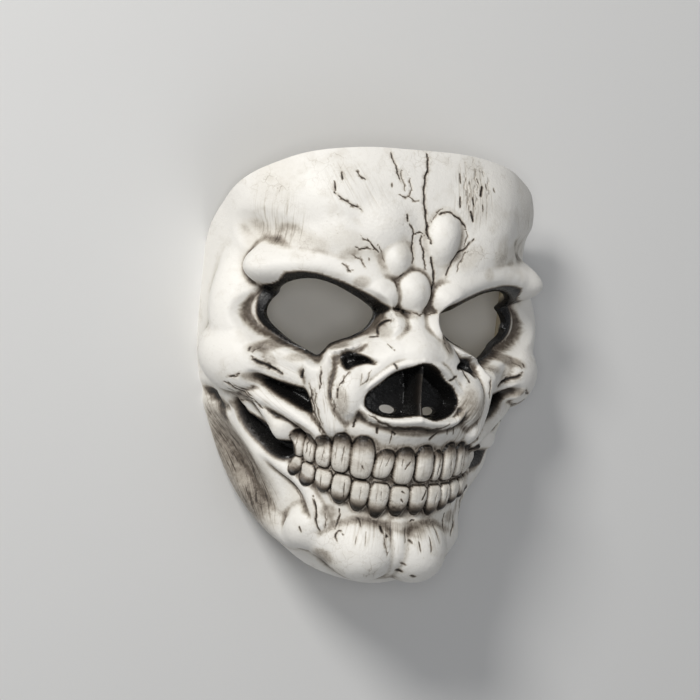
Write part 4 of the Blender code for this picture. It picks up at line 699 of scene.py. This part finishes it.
def mirrored(pts):
    return np.asarray(pts)[::-1] * (-1, 1)


def beside(pts, by):
    """An open line moved sideways."""
    run = np.gradient(pts, axis=0)
    normal = np.stack([-run[:, 1], run[:, 0]], -1) / (np.linalg.norm(run, axis=1)[:, None] + 1e-9)
    return pts + normal * by


def rim_loop(gap):
    right = spaced(smooth_line(RIM, 6), gap, closed=False) * (-1, 1)
    return np.vstack([right, mirrored(right)[1:-1]])


def lattice(gap, keep):
    rows = []
    for k, t in enumerate(np.arange(-132, 72, gap * 0.866)):
        s = np.arange(0, 118, gap) + (k % 2) * gap / 2
        s = np.concatenate([-s[::-1], s]) if k % 2 else np.concatenate([-s[:0:-1], s])
        rows.append(np.stack([s, np.full(len(s), t)], -1))
    pts = np.vstack(rows)
    return pts[keep(pts[:, 0], pts[:, 1])]


def keep_clear(pts, line, gap):
    tree = KDTree(len(line))
    for i, (x, y) in enumerate(line):
        tree.insert((x, y, 0.0), i)
    tree.balance()
    ok = [tree.find((x, y, 0.0))[2] > gap for x, y in pts]
    return pts[np.array(ok, bool)] if len(pts) else pts


def triangles(points, loops):
    """Delaunay triangles of the points inside the first loop and outside the rest."""
    pts = list(map(tuple, points))
    inner_count = len(pts)
    edges = []
    for loop in loops:
        start, n = len(pts), len(loop)
        pts += list(map(tuple, loop))
        edges += [(start + i, start + (i + 1) % n) for i in range(n)]
    verts, _, faces, source, _, _ = delaunay_2d_cdt([Vector(p) for p in pts], edges, [], 0, 1e-6)
    if len(verts) != len(pts):
        raise ValueError("two points of the net fall together")
    back = np.array([ids[0] for ids in source])
    tri = back[np.array(faces)]
    p = np.array(pts)
    on_edge = (tri >= inner_count).all(1)
    mid = p[tri[on_edge]].mean(1)
    ok = loop_distance(mid[:, 0], mid[:, 1], [tuple(q) for q in loops[0]]) < 0
    for hole in loops[1:]:
        ok &= loop_distance(mid[:, 0], mid[:, 1], [tuple(q) for q in hole]) > 0
    keep = np.ones(len(tri), bool)
    keep[np.where(on_edge)[0][~ok]] = False
    tri = tri[keep]
    a, b, c = p[tri[:, 0]], p[tri[:, 1]], p[tri[:, 2]]
    turn = (b[:, 0] - a[:, 0]) * (c[:, 1] - a[:, 1]) - (b[:, 1] - a[:, 1]) * (c[:, 0] - a[:, 0])
    tri[turn < 0] = tri[turn < 0][:, ::-1]
    return p, tri


def surface(s, t, h):
    return base_point(s, t) + base_normal(s, t) * h[:, None]


def groove_field(s, t):
    """Depth and paint of the carved lines at each point."""
    depth, tone = np.zeros(s.shape), np.zeros(s.shape)
    for _, width, deep, dark, both, line in GROOVES:
        rows = smooth_line(line, 4) if len(line) > 2 else line
        for m in sides(both):
            x = s * m
            lo = np.min(np.array(rows), axis=0) - width * 1.6
            hi = np.max(np.array(rows), axis=0) + width * 1.6
            near = (x > lo[0]) & (x < hi[0]) & (t > lo[1]) & (t < hi[1])
            if not near.any():
                continue
            # hand-cut: the path and the width wander a little
            xn, tn = x[near], t[near]
            wide = min(1.0, len(rows) / 6)
            xn = xn + wide * (0.26 * np.sin(tn * 1.1 + 0.5 * xn) + 0.07 * np.sin(tn * 2.9 - 0.8 * xn))
            tn = tn + wide * (0.26 * np.sin(xn * 1.2 - 0.4 * tn) + 0.07 * np.sin(xn * 3.1 + 0.9 * tn))
            d, _ = along(xn, tn, rows)
            # a line runs out to nothing at its two ends
            first, last = np.array(rows[0]), np.array(rows[-1])
            end = np.minimum(np.hypot(x[near] - first[0], t[near] - first[1]), np.hypot(x[near] - last[0], t[near] - last[1]))
            taper = 0.35 + 0.65 * np.clip(end / (1.2 + width * 1.8), 0, 1)
            ripple = np.sin(x[near] * 3.1 + 1.3 * np.sin(t[near] * 1.7)) * np.sin(t[near] * 2.7 + 1.1 * np.sin(x[near] * 1.9))
            u = (d + 0.10 * ripple) / (width * (0.42 + 0.20 * ripple) * taper)
            depth[near] = np.maximum(depth[near], deep * taper * np.clip(1 - u, 0, 1) ** 0.8)
            tone[near] = np.maximum(tone[near], dark * np.clip(1.25 - u, 0, 1) ** 0.7)
            tone[near] = np.maximum(tone[near], 0.30 * dark * np.clip(1 - u / 3.6, 0, 1))
    return depth, np.clip(tone, 0, 1)


class Grid:
    """A height sampled on an even net, so that hollows can be told from crests."""

    def __init__(self, cell, values=None):
        self.cell, self.s0, self.t0 = cell, -120.0, -136.0
        self.s, self.t = np.meshgrid(np.arange(self.s0, 120.1, cell), np.arange(self.t0, 76, cell))
        self.values = values

    def blurred(self, h, reach):
        n = max(int(round(reach / self.cell)), 1)
        out = h
        for _ in range(2):
            for axis in (0, 1):
                total = np.zeros_like(out)
                for k in range(-n, n + 1):
                    total += np.roll(out, k, axis)
                out = total / (2 * n + 1)
        return out

    def read(self, g, s, t):
        i = np.clip((t - self.t0) / self.cell, 0, g.shape[0] - 1.001)
        j = np.clip((s - self.s0) / self.cell, 0, g.shape[1] - 1.001)
        a, b = i.astype(int), j.astype(int)
        u, v = i - a, j - b
        return g[a, b] * (1 - u) * (1 - v) + g[a + 1, b] * u * (1 - v) + g[a, b + 1] * (1 - u) * v + g[a + 1, b + 1] * u * v


def inner_height(net, h):
    low = h.copy()
    reach = int(round(4.5 / net.cell))
    for i in range(-reach, reach + 1):
        for j in range(-reach, reach + 1):
            if i * i + j * j <= reach * reach + 1:
                low = np.minimum(low, np.roll(np.roll(h, i, 0), j, 1))
    return net.blurred(net.blurred(low, 2.5), 2.5) - WALL


def outer_height(s, t):
    return large_form(s, t)


def paint_field(s, t, net, fine, broad):
    """How dark the paint is, 0 bare white to 1 black, painted shade in creases, hollows and under overhangs included.
    """
    # painted shade: darker in creases and hollows, by how far the surface lies below its blurred self; partly the dark
    # wash the mask has in its recesses
    tone = 0.62 * np.clip((net.read(fine, s, t) - 0.10) / 0.60, 0, 1) ** 0.8
    tone = np.maximum(tone, 0.20 * np.clip((net.read(broad, s, t) - 0.5) / 2.6, 0, 1))
    # airbrushed washes, and painted shade under overhangs and between parts
    for cs, ct, a, b, turn, amount, both in WASHES_AND_PAINTED_SHADE:
        for m in sides(both):
            d = oval(s * m, t, cs, ct, a, b, turn)
            tone = 1 - (1 - tone) * (1 - amount * np.clip(1.35 * (1 - d), 0, 1) ** 1.2)
    stand, root, gap = tooth_field(s, t)
    back = step(np.abs(s), 58, 54) * (t < -52) * (t > -92)
    upper = t > -73.4
    inside = np.clip((1 - gap) * 6, 0, 1)
    fade = np.clip((root + np.where(upper, 0.0, 0.12)) / 0.98, 0, 1)
    shade = np.where(upper, 0.96, 1.0) * fade ** np.where(upper, 1.25, 1.0) * inside
    # a thin dark line all round each tooth, sharp towards the gum
    edge = np.where(gap < 1.0, 0.17, np.where(root > 0.25, 0.09, 0.20))
    ring = np.exp(-((gap - 1.0) / edge) ** 2) * np.where(root > -0.1, 1.0, 0.86)
    low = np.clip(0.10 + 0.12 * np.abs(root), 0, 1) * inside
    tone = np.where(back * (gap < 1.5) > 0.5, tone * 0.6, tone)
    tone = 1 - (1 - tone) * (1 - back * np.maximum(np.maximum(shade, ring), low))
    _, line = groove_field(s, t)
    tone = np.maximum(tone, line)
    black = np.zeros(s.shape)
    for outline, starts, full, both in BLACKS:
        loop = smooth_loop(outline, 4)
        for m in sides(both):
            black = np.maximum(black, step(loop_distance(s * m, t, loop), starts, full))
    # the tip of the brow bone hangs over the socket and stays bare
    for row in LATE_LUMPS[1:]:
        for m in sides(row[-1]):
            over = step(oval(s * m, t, row[1], row[2], row[3], row[4], row[5]), 1.10, 0.92)
            black = black * (1 - over)
    # painted highlight: the black is lifted along the crest of the septum
    d, _ = along(s, t, SEPTUM[3])
    septum_highlight = 0.20 * np.exp(-(d / 0.9) ** 2) * (t < -28) * (t > -45.0)
    return np.clip(np.maximum(tone, black * (1 - septum_highlight)), 0, 1)


def grain_field(s, t):
    across, run, amount = s.copy(), t.copy(), np.zeros(s.shape)
    for cs, ct, a, b, turn, strength, runs, both in GRAINS:
        for m in sides(both):
            w = strength * np.clip(1 - oval(s * m, t, cs, ct, a, b, turn), 0, 1) ** 0.7
            take = w > amount
            c, q = math.cos(math.radians(runs)), math.sin(math.radians(runs))
            x = s * m
            across = np.where(take, -x * q + t * c + m * 31.0, across)
            run = np.where(take, x * c + t * q, run)
            amount = np.maximum(amount, w)
    return across, run, amount


def make_mask():
    rim = rim_loop(1.6)
    eye = spaced(smooth_loop(EYE, 6), 0.8)
    nostril = spaced(smooth_loop(NOSTRIL, 4), 0.7)
    loops = [rim, eye, mirrored(eye), nostril, mirrored(nostril)]
    coarse = [rim_loop(4.0), spaced(smooth_loop(EYE, 5), 1.8), None, spaced(smooth_loop(NOSTRIL, 3), 1.2), None]
    coarse[2], coarse[4] = mirrored(coarse[1]), mirrored(coarse[3])

    def inside(s, t, edge):
        ok = loop_distance(s, t, [tuple(p) for p in coarse[0]]) < -edge
        for hole in coarse[1:]:
            ok &= loop_distance(s, t, [tuple(p) for p in hole]) > edge * 0.8
        return ok

    def finest(s, t):
        a = np.abs(s)
        return ((a < 60) & (t > -92) & (t < -52)) | ((a < 26) & (t >= -52) & (t < -20)) | ((a < 24) & (t >= -20) & (t < 46))

    def middle(s, t):
        return (np.abs(s) < 90) & (t > -124) & (t < 62)

    own = []
    taken = []
    for name, width, _, _, both, line in GROOVES:
        rows = smooth_line(line, 5) if len(line) > 2 else line
        core = spaced(rows, 0.55, closed=False)
        if len(core) < 2:
            continue
        for m in sides(both):
            for by in (0.0, width * 0.5, -width * 0.5, width * 0.78, -width * 0.78):
                pts = beside(core, by) * (m, 1)
                pts = pts[inside(pts[:, 0], pts[:, 1], 0.6)]
                if own and len(pts):
                    pts = keep_clear(pts, np.vstack(own), 0.24 if by else 0.18)
                if len(pts):
                    own.append(pts)
    for outline, both in ((APERTURE, 0), (SOCKET, 1), (INFRA_HOLE, 1), (MALAR_GAP, 1), (BACK_GAP, 1)):
        core = spaced(smooth_loop(outline, 5), 0.8)
        for m in sides(both):
            pts = core * (m, 1)
            pts = pts[inside(pts[:, 0], pts[:, 1], 0.6)]
            pts = keep_clear(pts, np.vstack(own), 0.4)
            own.append(pts)
    lines = np.vstack(own)
    parts = [
        lattice(0.60, lambda s, t: finest(s, t) & inside(s, t, 0.5)),
        lattice(1.0, lambda s, t: ~finest(s, t) & middle(s, t) & inside(s, t, 0.8)),
        lattice(2.3, lambda s, t: ~middle(s, t) & inside(s, t, 1.4)),
    ]
    points = np.vstack([keep_clear(parts[0], lines, 0.36), keep_clear(parts[1], lines, 0.5), parts[2], lines])
    outer_at, outer_tri = triangles(points, loops)
    s, t = outer_at.T
    net = Grid(0.8)
    full = outer_height(net.s, net.t)
    plain = large_form(net.s, net.t, teeth=False)
    # how far the surface lies below its blurred self, for the painted shade in creases and hollows
    fine = net.blurred(full, 1.6) - full
    broad = net.blurred(full, 6.0) - full
    depth, _ = groove_field(s, t)
    wear = np.sin(s * 1.9 + 2.1 * np.sin(t * 0.83)) * np.sin(t * 2.3 + 1.7 * np.sin(s * 0.71)) * 0.05
    outer = surface(s, t, outer_height(s, t) - depth + wear)

    count = sum(len(loop) for loop in loops)
    inner_at, inner_tri = triangles(lattice(4.2, lambda s, t: inside(s, t, 2.6)), loops)
    coarse_net = Grid(1.5)
    low = inner_height(coarse_net, large_form(coarse_net.s, coarse_net.t, teeth=False))
    hi = coarse_net.read(low, *inner_at.T)
    hi[-count:] = outer_height(*outer_at[-count:].T) - WALL
    hull = BVHTree.FromPolygons([tuple(p) for p in outer], [tuple(map(int, f)) for f in outer_tri])
    free = len(inner_at) - count
    for _ in range(5):
        inner = surface(inner_at[:, 0], inner_at[:, 1], hi)
        lift = np.zeros(len(hi))
        for f in inner_tri:
            corner = inner[f]
            for w in ((1 / 3, 1 / 3, 1 / 3), (1, 0, 0), (0, 1, 0), (0, 0, 1)):
                d = hull.find_nearest(Vector(np.dot(w, corner)))[3]
                if d < THIN:
                    for k, v in enumerate(f):
                        if w[k] > 0:
                            lift[v] = max(lift[v], THIN + 0.25 - d)
        lift[free:] = 0
        if lift.max() == 0:
            break
        hi = hi - lift
    inner = surface(inner_at[:, 0], inner_at[:, 1], hi)

    def trim(points, at):
        flat = (np.abs(at[:, 0]) > 100) & (at[:, 1] > -58) & (at[:, 1] < 17)
        flat &= np.arange(len(at)) >= len(at) - count
        flat[len(at) - count + len(rim):] = False
        points[flat, 2] = TABLE_Z
        points[:, 2] = np.maximum(points[:, 2], TABLE_Z)
        return points

    outer, inner = trim(outer, outer_at), trim(inner, inner_at)
    faces = [outer_tri, inner_tri[:, ::-1] + len(outer)]
    a, b = len(outer) - count, len(outer) + len(inner) - count
    for loop in loops:
        n = len(loop)
        i = np.arange(n)
        j = (i + 1) % n
        faces += [np.stack([a + i, a + j, b + j], -1), np.stack([a + i, b + j, b + i], -1)]
        a, b = a + n, b + n
    faces = np.vstack(faces)
    verts = (np.vstack([outer, inner]) - (0, MIDDLE_Y, TABLE_Z)) * MM
    tone = np.concatenate([paint_field(s, t, net, fine, broad), np.zeros(len(inner))])
    # paint runs over the trimmed edges of the openings
    tone[-count + len(rim):] = 0.9
    across, run, amount = grain_field(s, t)
    grain = np.zeros((len(verts), 3), np.float32)
    grain[: len(outer)] = np.stack([across, run, amount], -1)
    shell = np.concatenate([np.ones(len(outer)), np.zeros(len(inner))])
    shell[-count + len(rim):] = 1.0
    lip = np.min([np.abs(loop_distance(*inner_at.T, [tuple(q) for q in hole])) for hole in coarse[1:]], axis=0)
    over = step(lip, 4.6, 1.0)
    shell[len(outer):] = np.maximum(shell[len(outer):], over)
    tone[len(outer):] = np.maximum(tone[len(outer):], 0.9 * over)
    return verts, faces, tone, grain, shell


def new_piece(name, verts, faces):
    mesh = bpy.data.meshes.new(name)
    faces = np.asarray(faces)
    mesh.vertices.add(len(verts))
    mesh.vertices.foreach_set("co", np.asarray(verts, np.float32).ravel())
    size = faces.shape[1]
    mesh.loops.add(faces.size)
    mesh.loops.foreach_set("vertex_index", faces.ravel().astype(np.int32))
    mesh.polygons.add(len(faces))
    mesh.polygons.foreach_set("loop_start", np.arange(0, faces.size, size, dtype=np.int32))
    mesh.polygons.foreach_set("loop_total", np.full(len(faces), size, np.int32))
    mesh.update(calc_edges=True)
    mesh.validate()
    mesh.shade_smooth()
    thing = bpy.data.objects.new(name, mesh)
    bpy.context.scene.collection.objects.link(thing)
    return thing


def put(mesh, name, kind, values):
    layer = mesh.attributes.new(name, kind, "POINT")
    layer.data.foreach_set("vector" if kind == "FLOAT_VECTOR" else "value", np.asarray(values, np.float32).ravel())


# ---------------------------------------------------------------- materials
class Nodes:
    """Short calls to put shader nodes down and join them."""

    def __init__(self, name):
        self.paint = bpy.data.materials.new(name)
        self.paint.use_nodes = True
        self.tree = self.paint.node_tree
        self.shader = self.tree.nodes["Principled BSDF"]

    def add(self, kind, **values):
        node = self.tree.nodes.new(kind)
        for key, value in values.items():
            setattr(node, key, value)
        return node

    def join(self, a, b):
        self.tree.links.new(a, b)

    def attribute(self, name, output="Fac"):
        return self.add("ShaderNodeAttribute", attribute_name=name).outputs[output]

    def math(self, operation, a, b=0.0, clamp=False):
        node = self.add("ShaderNodeMath", operation=operation, use_clamp=clamp)
        for socket, value in zip(node.inputs, (a, b)):
            if isinstance(value, (int, float)):
                socket.default_value = value
            else:
                self.join(value, socket)
        return node.outputs[0]

    def noise(self, vector, scale, detail=3.0, rough=0.55, distortion=0.0):
        node = self.add("ShaderNodeTexNoise")
        node.inputs["Scale"].default_value = scale
        node.inputs["Detail"].default_value = detail
        node.inputs["Roughness"].default_value = rough
        node.inputs["Distortion"].default_value = distortion
        self.join(vector, node.inputs["Vector"])
        return node.outputs["Fac"]

    def ramp(self, value, stops):
        node = self.add("ShaderNodeValToRGB")
        marks = node.color_ramp.elements
        while len(marks) < len(stops):
            marks.new(0.5)
        for mark, (at, colour) in zip(marks, stops):
            mark.position = at
            mark.color = (*colour, 1.0)
        self.join(value, node.inputs["Fac"])
        return node.outputs["Color"]

    def mix(self, share, a, b):
        node = self.add("ShaderNodeMix", data_type="RGBA")
        sockets = [x for x in node.inputs if x.enabled]
        for socket, value in zip(sockets, (share, a, b)):
            if isinstance(value, (int, float)):
                socket.default_value = value
            elif isinstance(value, tuple):
                socket.default_value = (*value, 1.0)
            else:
                self.join(value, socket)
        return [x for x in node.outputs if x.enabled][0]


def latex_paint():
    n = Nodes("painted_latex")
    place = n.add("ShaderNodeTexCoord").outputs["Object"]
    tone = n.attribute("tone")
    shell = n.attribute("shell")
    grain = n.attribute("grain", "Vector")
    parts = n.add("ShaderNodeSeparateXYZ")
    n.join(grain, parts.inputs[0])
    across, run, amount = parts.outputs
    # brushed streaks, long one way
    brush = n.add("ShaderNodeCombineXYZ")
    n.join(n.math("MULTIPLY", across, 1.05), brush.inputs[0])
    n.join(n.math("MULTIPLY", run, 0.07), brush.inputs[1])
    streak = n.noise(brush.outputs[0], 1.0, 3.0, 0.6, 0.3)
    streak = n.math("MULTIPLY", n.math("SUBTRACT", streak, 0.50, clamp=True), 3.4, clamp=True)
    streak = n.math("MULTIPLY", streak, amount)
    # uneven wash and speckle
    mottle = n.noise(place, 520.0, 4.0, 0.65)
    cloud = n.noise(place, 95.0, 3.0, 0.55)
    open_tone = n.math("MULTIPLY", tone, n.math("SUBTRACT", 1.0, tone))
    uneven = n.math("MULTIPLY", n.math("SUBTRACT", mottle, 0.5), 1.7)
    shade = n.math("ADD", tone, n.math("MULTIPLY", open_tone, uneven))
    shade = n.math("ADD", shade, n.math("MULTIPLY", streak, 0.55))
    web = n.add("ShaderNodeTexVoronoi", feature="DISTANCE_TO_EDGE")
    web.inputs["Scale"].default_value = 210.0
    bent = n.add("ShaderNodeVectorMath", operation="ADD")
    warp = n.add("ShaderNodeTexNoise")
    warp.inputs["Scale"].default_value = 260.0
    n.join(place, warp.inputs["Vector"])
    small = n.add("ShaderNodeVectorMath", operation="SCALE")
    small.inputs["Scale"].default_value = 0.006
    n.join(warp.outputs["Color"], small.inputs[0])
    n.join(place, bent.inputs[0])
    n.join(small.outputs[0], bent.inputs[1])
    n.join(bent.outputs[0], web.inputs["Vector"])
    hair = n.math("SUBTRACT", 1.0, n.math("MULTIPLY", web.outputs["Distance"], 26.0), clamp=True)
    where = n.math("MULTIPLY", n.math("SUBTRACT", n.noise(place, 48.0, 2.0), 0.52, clamp=True), 4.0, clamp=True)
    hair = n.math("MULTIPLY", hair, where)
    shade = n.math("ADD", shade, n.math("MULTIPLY", hair, 0.26))
    speck = n.math("MULTIPLY", n.math("SUBTRACT", n.noise(place, 760.0, 3.0, 0.7), 0.60, clamp=True), 3.2, clamp=True)
    patch = n.math("MULTIPLY", n.math("SUBTRACT", n.noise(place, 34.0, 2.0), 0.44, clamp=True), 3.6, clamp=True)
    shade = n.math("ADD", shade, n.math("MULTIPLY", n.math("MULTIPLY", speck, patch), 0.42))
    stain = n.math("MULTIPLY", n.math("SUBTRACT", cloud, 0.54, clamp=True), 0.60)
    shade = n.math("ADD", shade, stain, clamp=True)
    colour = n.ramp(shade, (
        (0.0, (0.915, 0.893, 0.842)),
        (0.16, (0.760, 0.725, 0.655)),
        (0.36, (0.430, 0.385, 0.325)),
        (0.62, (0.120, 0.096, 0.074)),
        (0.85, (0.018, 0.014, 0.011)),
        (1.0, (0.0065, 0.0062, 0.006)),
    ))
    cream = n.mix(n.noise(place, 60.0), (0.60, 0.52, 0.38), (0.70, 0.63, 0.49))
    n.join(n.mix(shell, cream, colour), n.shader.inputs["Base Color"])
    gloss = n.math("MULTIPLY", n.math("SUBTRACT", shade, 0.72, clamp=True), 0.75)
    rough = n.math("SUBTRACT", n.math("ADD", 0.40, n.math("MULTIPLY", mottle, 0.16)), gloss)
    n.join(n.math("MAXIMUM", rough, 0.24), n.shader.inputs["Roughness"])
    n.shader.inputs["Specular IOR Level"].default_value = 0.4
    n.shader.inputs["Metallic"].default_value = 0.0
    # skin of the casting: pores, brushed scratches, soft unevenness
    pores = n.noise(place, 1050.0, 3.0, 0.65)
    soft = n.noise(place, 230.0, 3.0, 0.5)
    height = n.math("ADD", n.math("MULTIPLY", pores, 0.22), n.math("MULTIPLY", soft, 0.36))
    height = n.math("SUBTRACT", height, n.math("ADD", n.math("MULTIPLY", streak, 0.30), n.math("MULTIPLY", hair, 0.16)))
    bump = n.add("ShaderNodeBump")
    bump.inputs["Strength"].default_value = 0.7
    bump.inputs["Distance"].default_value = 0.0009
    n.join(height, bump.inputs["Height"])
    n.join(bump.outputs[0], n.shader.inputs["Normal"])
    return n.paint


def elastic_cloth():
    n = Nodes("woven_elastic")
    uv = n.attribute("weave", "Vector")
    parts = n.add("ShaderNodeSeparateXYZ")
    n.join(uv, parts.inputs[0])
    length, width, _ = parts.outputs
    ribs = n.math("SINE", n.math("MULTIPLY", width, 2 * math.pi / 1.0))
    picks = n.math("SINE", n.math("MULTIPLY", length, 2 * math.pi / 0.8))
    weave = n.math("ADD", n.math("MULTIPLY", ribs, 0.6), n.math("MULTIPLY", picks, 0.4))
    place = n.add("ShaderNodeTexCoord").outputs["Object"]
    fuzz = n.noise(place, 2500.0, 2.0)
    dark = n.mix(n.math("ADD", n.math("MULTIPLY", weave, 0.3), 0.5, clamp=True), (0.006, 0.006, 0.007), (0.030, 0.030, 0.033))
    n.join(n.mix(n.math("MULTIPLY", fuzz, 0.3), dark, (0.05, 0.05, 0.053)), n.shader.inputs["Base Color"])
    n.shader.inputs["Roughness"].default_value = 0.85
    n.shader.inputs["Sheen Weight"].default_value = 0.25
    bump = n.add("ShaderNodeBump")
    bump.inputs["Strength"].default_value = 0.6
    bump.inputs["Distance"].default_value = 0.0003
    n.join(weave, bump.inputs["Height"])
    n.join(bump.outputs[0], n.shader.inputs["Normal"])
    return n.paint


def plain_paint(name, colour, roughness):
    n = Nodes(name)
    place = n.add("ShaderNodeTexCoord").outputs["Object"]
    faint = n.noise(place, 14.0, 2.0)
    n.join(n.mix(faint, colour, tuple(c * 0.985 for c in colour)), n.shader.inputs["Base Color"])
    n.shader.inputs["Roughness"].default_value = roughness
    n.shader.inputs["Specular IOR Level"].default_value = 0.2
    return n.paint


# ---------------------------------------------------------------- the strap
STRAP_ROWS = ((0.00, 9.0), (0.16, 6.5), (0.32, 2.2), (0.46, 1.2), (0.60, 4.2), (0.72, 6.4), (0.84, 4.2))
STRAP_BEND = 8.0
STRAP_HELD = 14.0


def strap_path(x_wall):
    half = STRAP_THICK / 2
    low = TABLE_Z + 0.25 + half
    turn_z = low + STRAP_BEND
    path = []
    for k in range(7):
        path.append((x_wall, turn_z + STRAP_HELD * (1 - k / 7)))
    for k in range(13):
        a = math.pi / 2 * k / 12
        path.append((x_wall - STRAP_BEND + STRAP_BEND * math.cos(a), turn_z - STRAP_BEND * math.sin(a)))
    span = x_wall - STRAP_BEND
    rows = [(span * r, TABLE_Z + 0.25 + half + z - 1.2) for r, z in STRAP_ROWS]
    path += [tuple(p) for p in smooth_line([(span, low)] + rows[::-1], 12)[1:]]
    return np.array(path + [(-x, z) for x, z in path[-2::-1]])


def make_strap(x_wall):
    """The band with its rounded selvedges and the fine ribs of its weave."""
    path = strap_path(x_wall)
    run = np.gradient(path, axis=0)
    normal = np.stack([-run[:, 1], run[:, 0]], -1) / np.linalg.norm(run, axis=1)[:, None]
    along_mm = np.concatenate([[0], np.cumsum(np.hypot(*np.diff(path, axis=0).T))])
    half, w = STRAP_THICK / 2, STRAP_WIDTH / 2
    ring = []
    ys = np.linspace(-w + 0.35, w - 0.35, 39)
    for k, y in enumerate(ys):
        ring.append((y, half - (0.10 if k % 2 else 0.0)))
    ring += [(w - 0.1, half * 0.7), (w, 0.0), (w - 0.1, -half * 0.7)]
    for k, y in enumerate(ys[::-1]):
        ring.append((y, -half + (0.10 if k % 2 else 0.0)))
    ring += [(-w + 0.1, -half * 0.7), (-w, 0.0), (-w + 0.1, half * 0.7)]
    verts, weave = [], []
    for (x, z), (nx, nz), a in zip(path, normal, along_mm):
        for y, up in ring:
            verts.append((x + nx * up, STRAP_Y + y, z + nz * up))
            weave.append((a, y, 0.0))
    m, n = len(ring), len(path)
    faces = []
    for i in range(n - 1):
        for k in range(m):
            j = (k + 1) % m
            faces += [(m * i + k, m * i + j, m * (i + 1) + j), (m * i + k, m * (i + 1) + j, m * (i + 1) + k)]
    for base, turn in ((0, 1), (m * (n - 1), -1)):
        for k in range(1, m - 1):
            faces.append((base, base + k + 1, base + k)[::turn])
    verts = (np.array(verts) - (0, MIDDLE_Y, TABLE_Z)) * MM
    return verts, np.array(faces), np.array(weave), float(along_mm[-1])


# ---------------------------------------------------------------- the pieces
verts, faces, tone, grain, shell = make_mask()
mask = new_piece("latex_mask", verts, faces)
put(mask.data, "tone", "FLOAT", tone)
put(mask.data, "shell", "FLOAT", shell)
put(mask.data, "grain", "FLOAT_VECTOR", grain)
mask.data.set_sharp_from_angle(angle=math.radians(62))
mask.data.materials.append(latex_paint())
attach(mask, "root")
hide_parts("mask_shell")

strap_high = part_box("head_strap")[1]
x_wall = strap_high.x / MM - STRAP_THICK / 2
strap_verts, strap_faces, weave, strap_length = make_strap(x_wall)
strap = new_piece("elastic_strap", strap_verts, strap_faces)
put(strap.data, "weave", "FLOAT_VECTOR", weave)
strap.data.set_sharp_from_angle(angle=math.radians(70))
strap.data.materials.append(elastic_cloth())
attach(strap, "root")
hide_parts("head_strap")

# ---------------------------------------------------------------- the studio
bpy.ops.mesh.primitive_plane_add(size=8.0, location=(0, 0, 0))
floor = bpy.context.object
floor.name = "floor"
floor.data.materials.append(plain_paint("floor_paper", (0.80, 0.80, 0.79), 0.9))

world = bpy.data.worlds.new("studio")
bpy.context.scene.world = world
world.use_nodes = True
world.node_tree.nodes["Background"].inputs["Color"].default_value = (0.93, 0.95, 1.0, 1.0)
world.node_tree.nodes["Background"].inputs["Strength"].default_value = 0.16

bpy.context.scene.view_settings.view_transform = "Standard"

centre = Vector((0.0, 0.0, 0.04))


def soft_light(name, way, distance, size, power, colour):
    lamp = bpy.data.lights.new(name, "AREA")
    lamp.shape = "DISK"
    lamp.size = size
    lamp.energy = power
    lamp.color = colour
    thing = bpy.data.objects.new(name, lamp)
    bpy.context.scene.collection.objects.link(thing)
    way = Vector(way).normalized()
    thing.location = centre + way * distance
    thing.rotation_mode = "QUATERNION"
    thing.rotation_quaternion = way.to_track_quat("Z", "Y")
    return thing


soft_light("key", (-0.95, 0.85, 0.9), 1.4, 0.40, 12.4, (1.0, 0.985, 0.96))
soft_light("fill", (0.6, -0.3, 1.0), 1.8, 1.2, 2.0, (0.95, 0.97, 1.0))
soft_light("front", (-0.40, 0.10, 1.0), 1.7, 0.5, 5.0, (1.0, 1.0, 1.0))

yaw, pitch, roll = math.radians(23.5), math.radians(5.0), math.radians(6.0)
back = Vector((-math.sin(yaw) * math.cos(pitch), math.sin(pitch), math.cos(yaw) * math.cos(pitch)))
right = Vector((math.cos(yaw), 0.0, math.sin(yaw)))
up = back.cross(right)
across = right * math.cos(roll) + up * math.sin(roll)
upward = up * math.cos(roll) - right * math.sin(roll)
lens = bpy.data.cameras.new("camera")
lens.sensor_width = 36.0
lens.lens = 3664.0 / 700.0 * 36.0
lens.shift_x = -(395.0 - 350.0) / 700.0
lens.shift_y = (305.2 - 350.0) / 700.0
lens.clip_start, lens.clip_end = 0.05, 20.0
camera = bpy.data.objects.new("camera", lens)
bpy.context.scene.collection.objects.link(camera)
eyes = Vector((0.0, -MIDDLE_Y * MM, -TABLE_Z * MM))
spot = eyes + back * 1.6
camera.matrix_world = Matrix((
    (across.x, upward.x, back.x, spot.x),
    (across.y, upward.y, back.y, spot.y),
    (across.z, upward.z, back.z, spot.z),
    (0.0, 0.0, 0.0, 1.0),
))
bpy.context.scene.camera = camera

print("mask triangles", len(faces), "strap triangles", len(strap_faces), "strap mm", round(strap_length, 1))
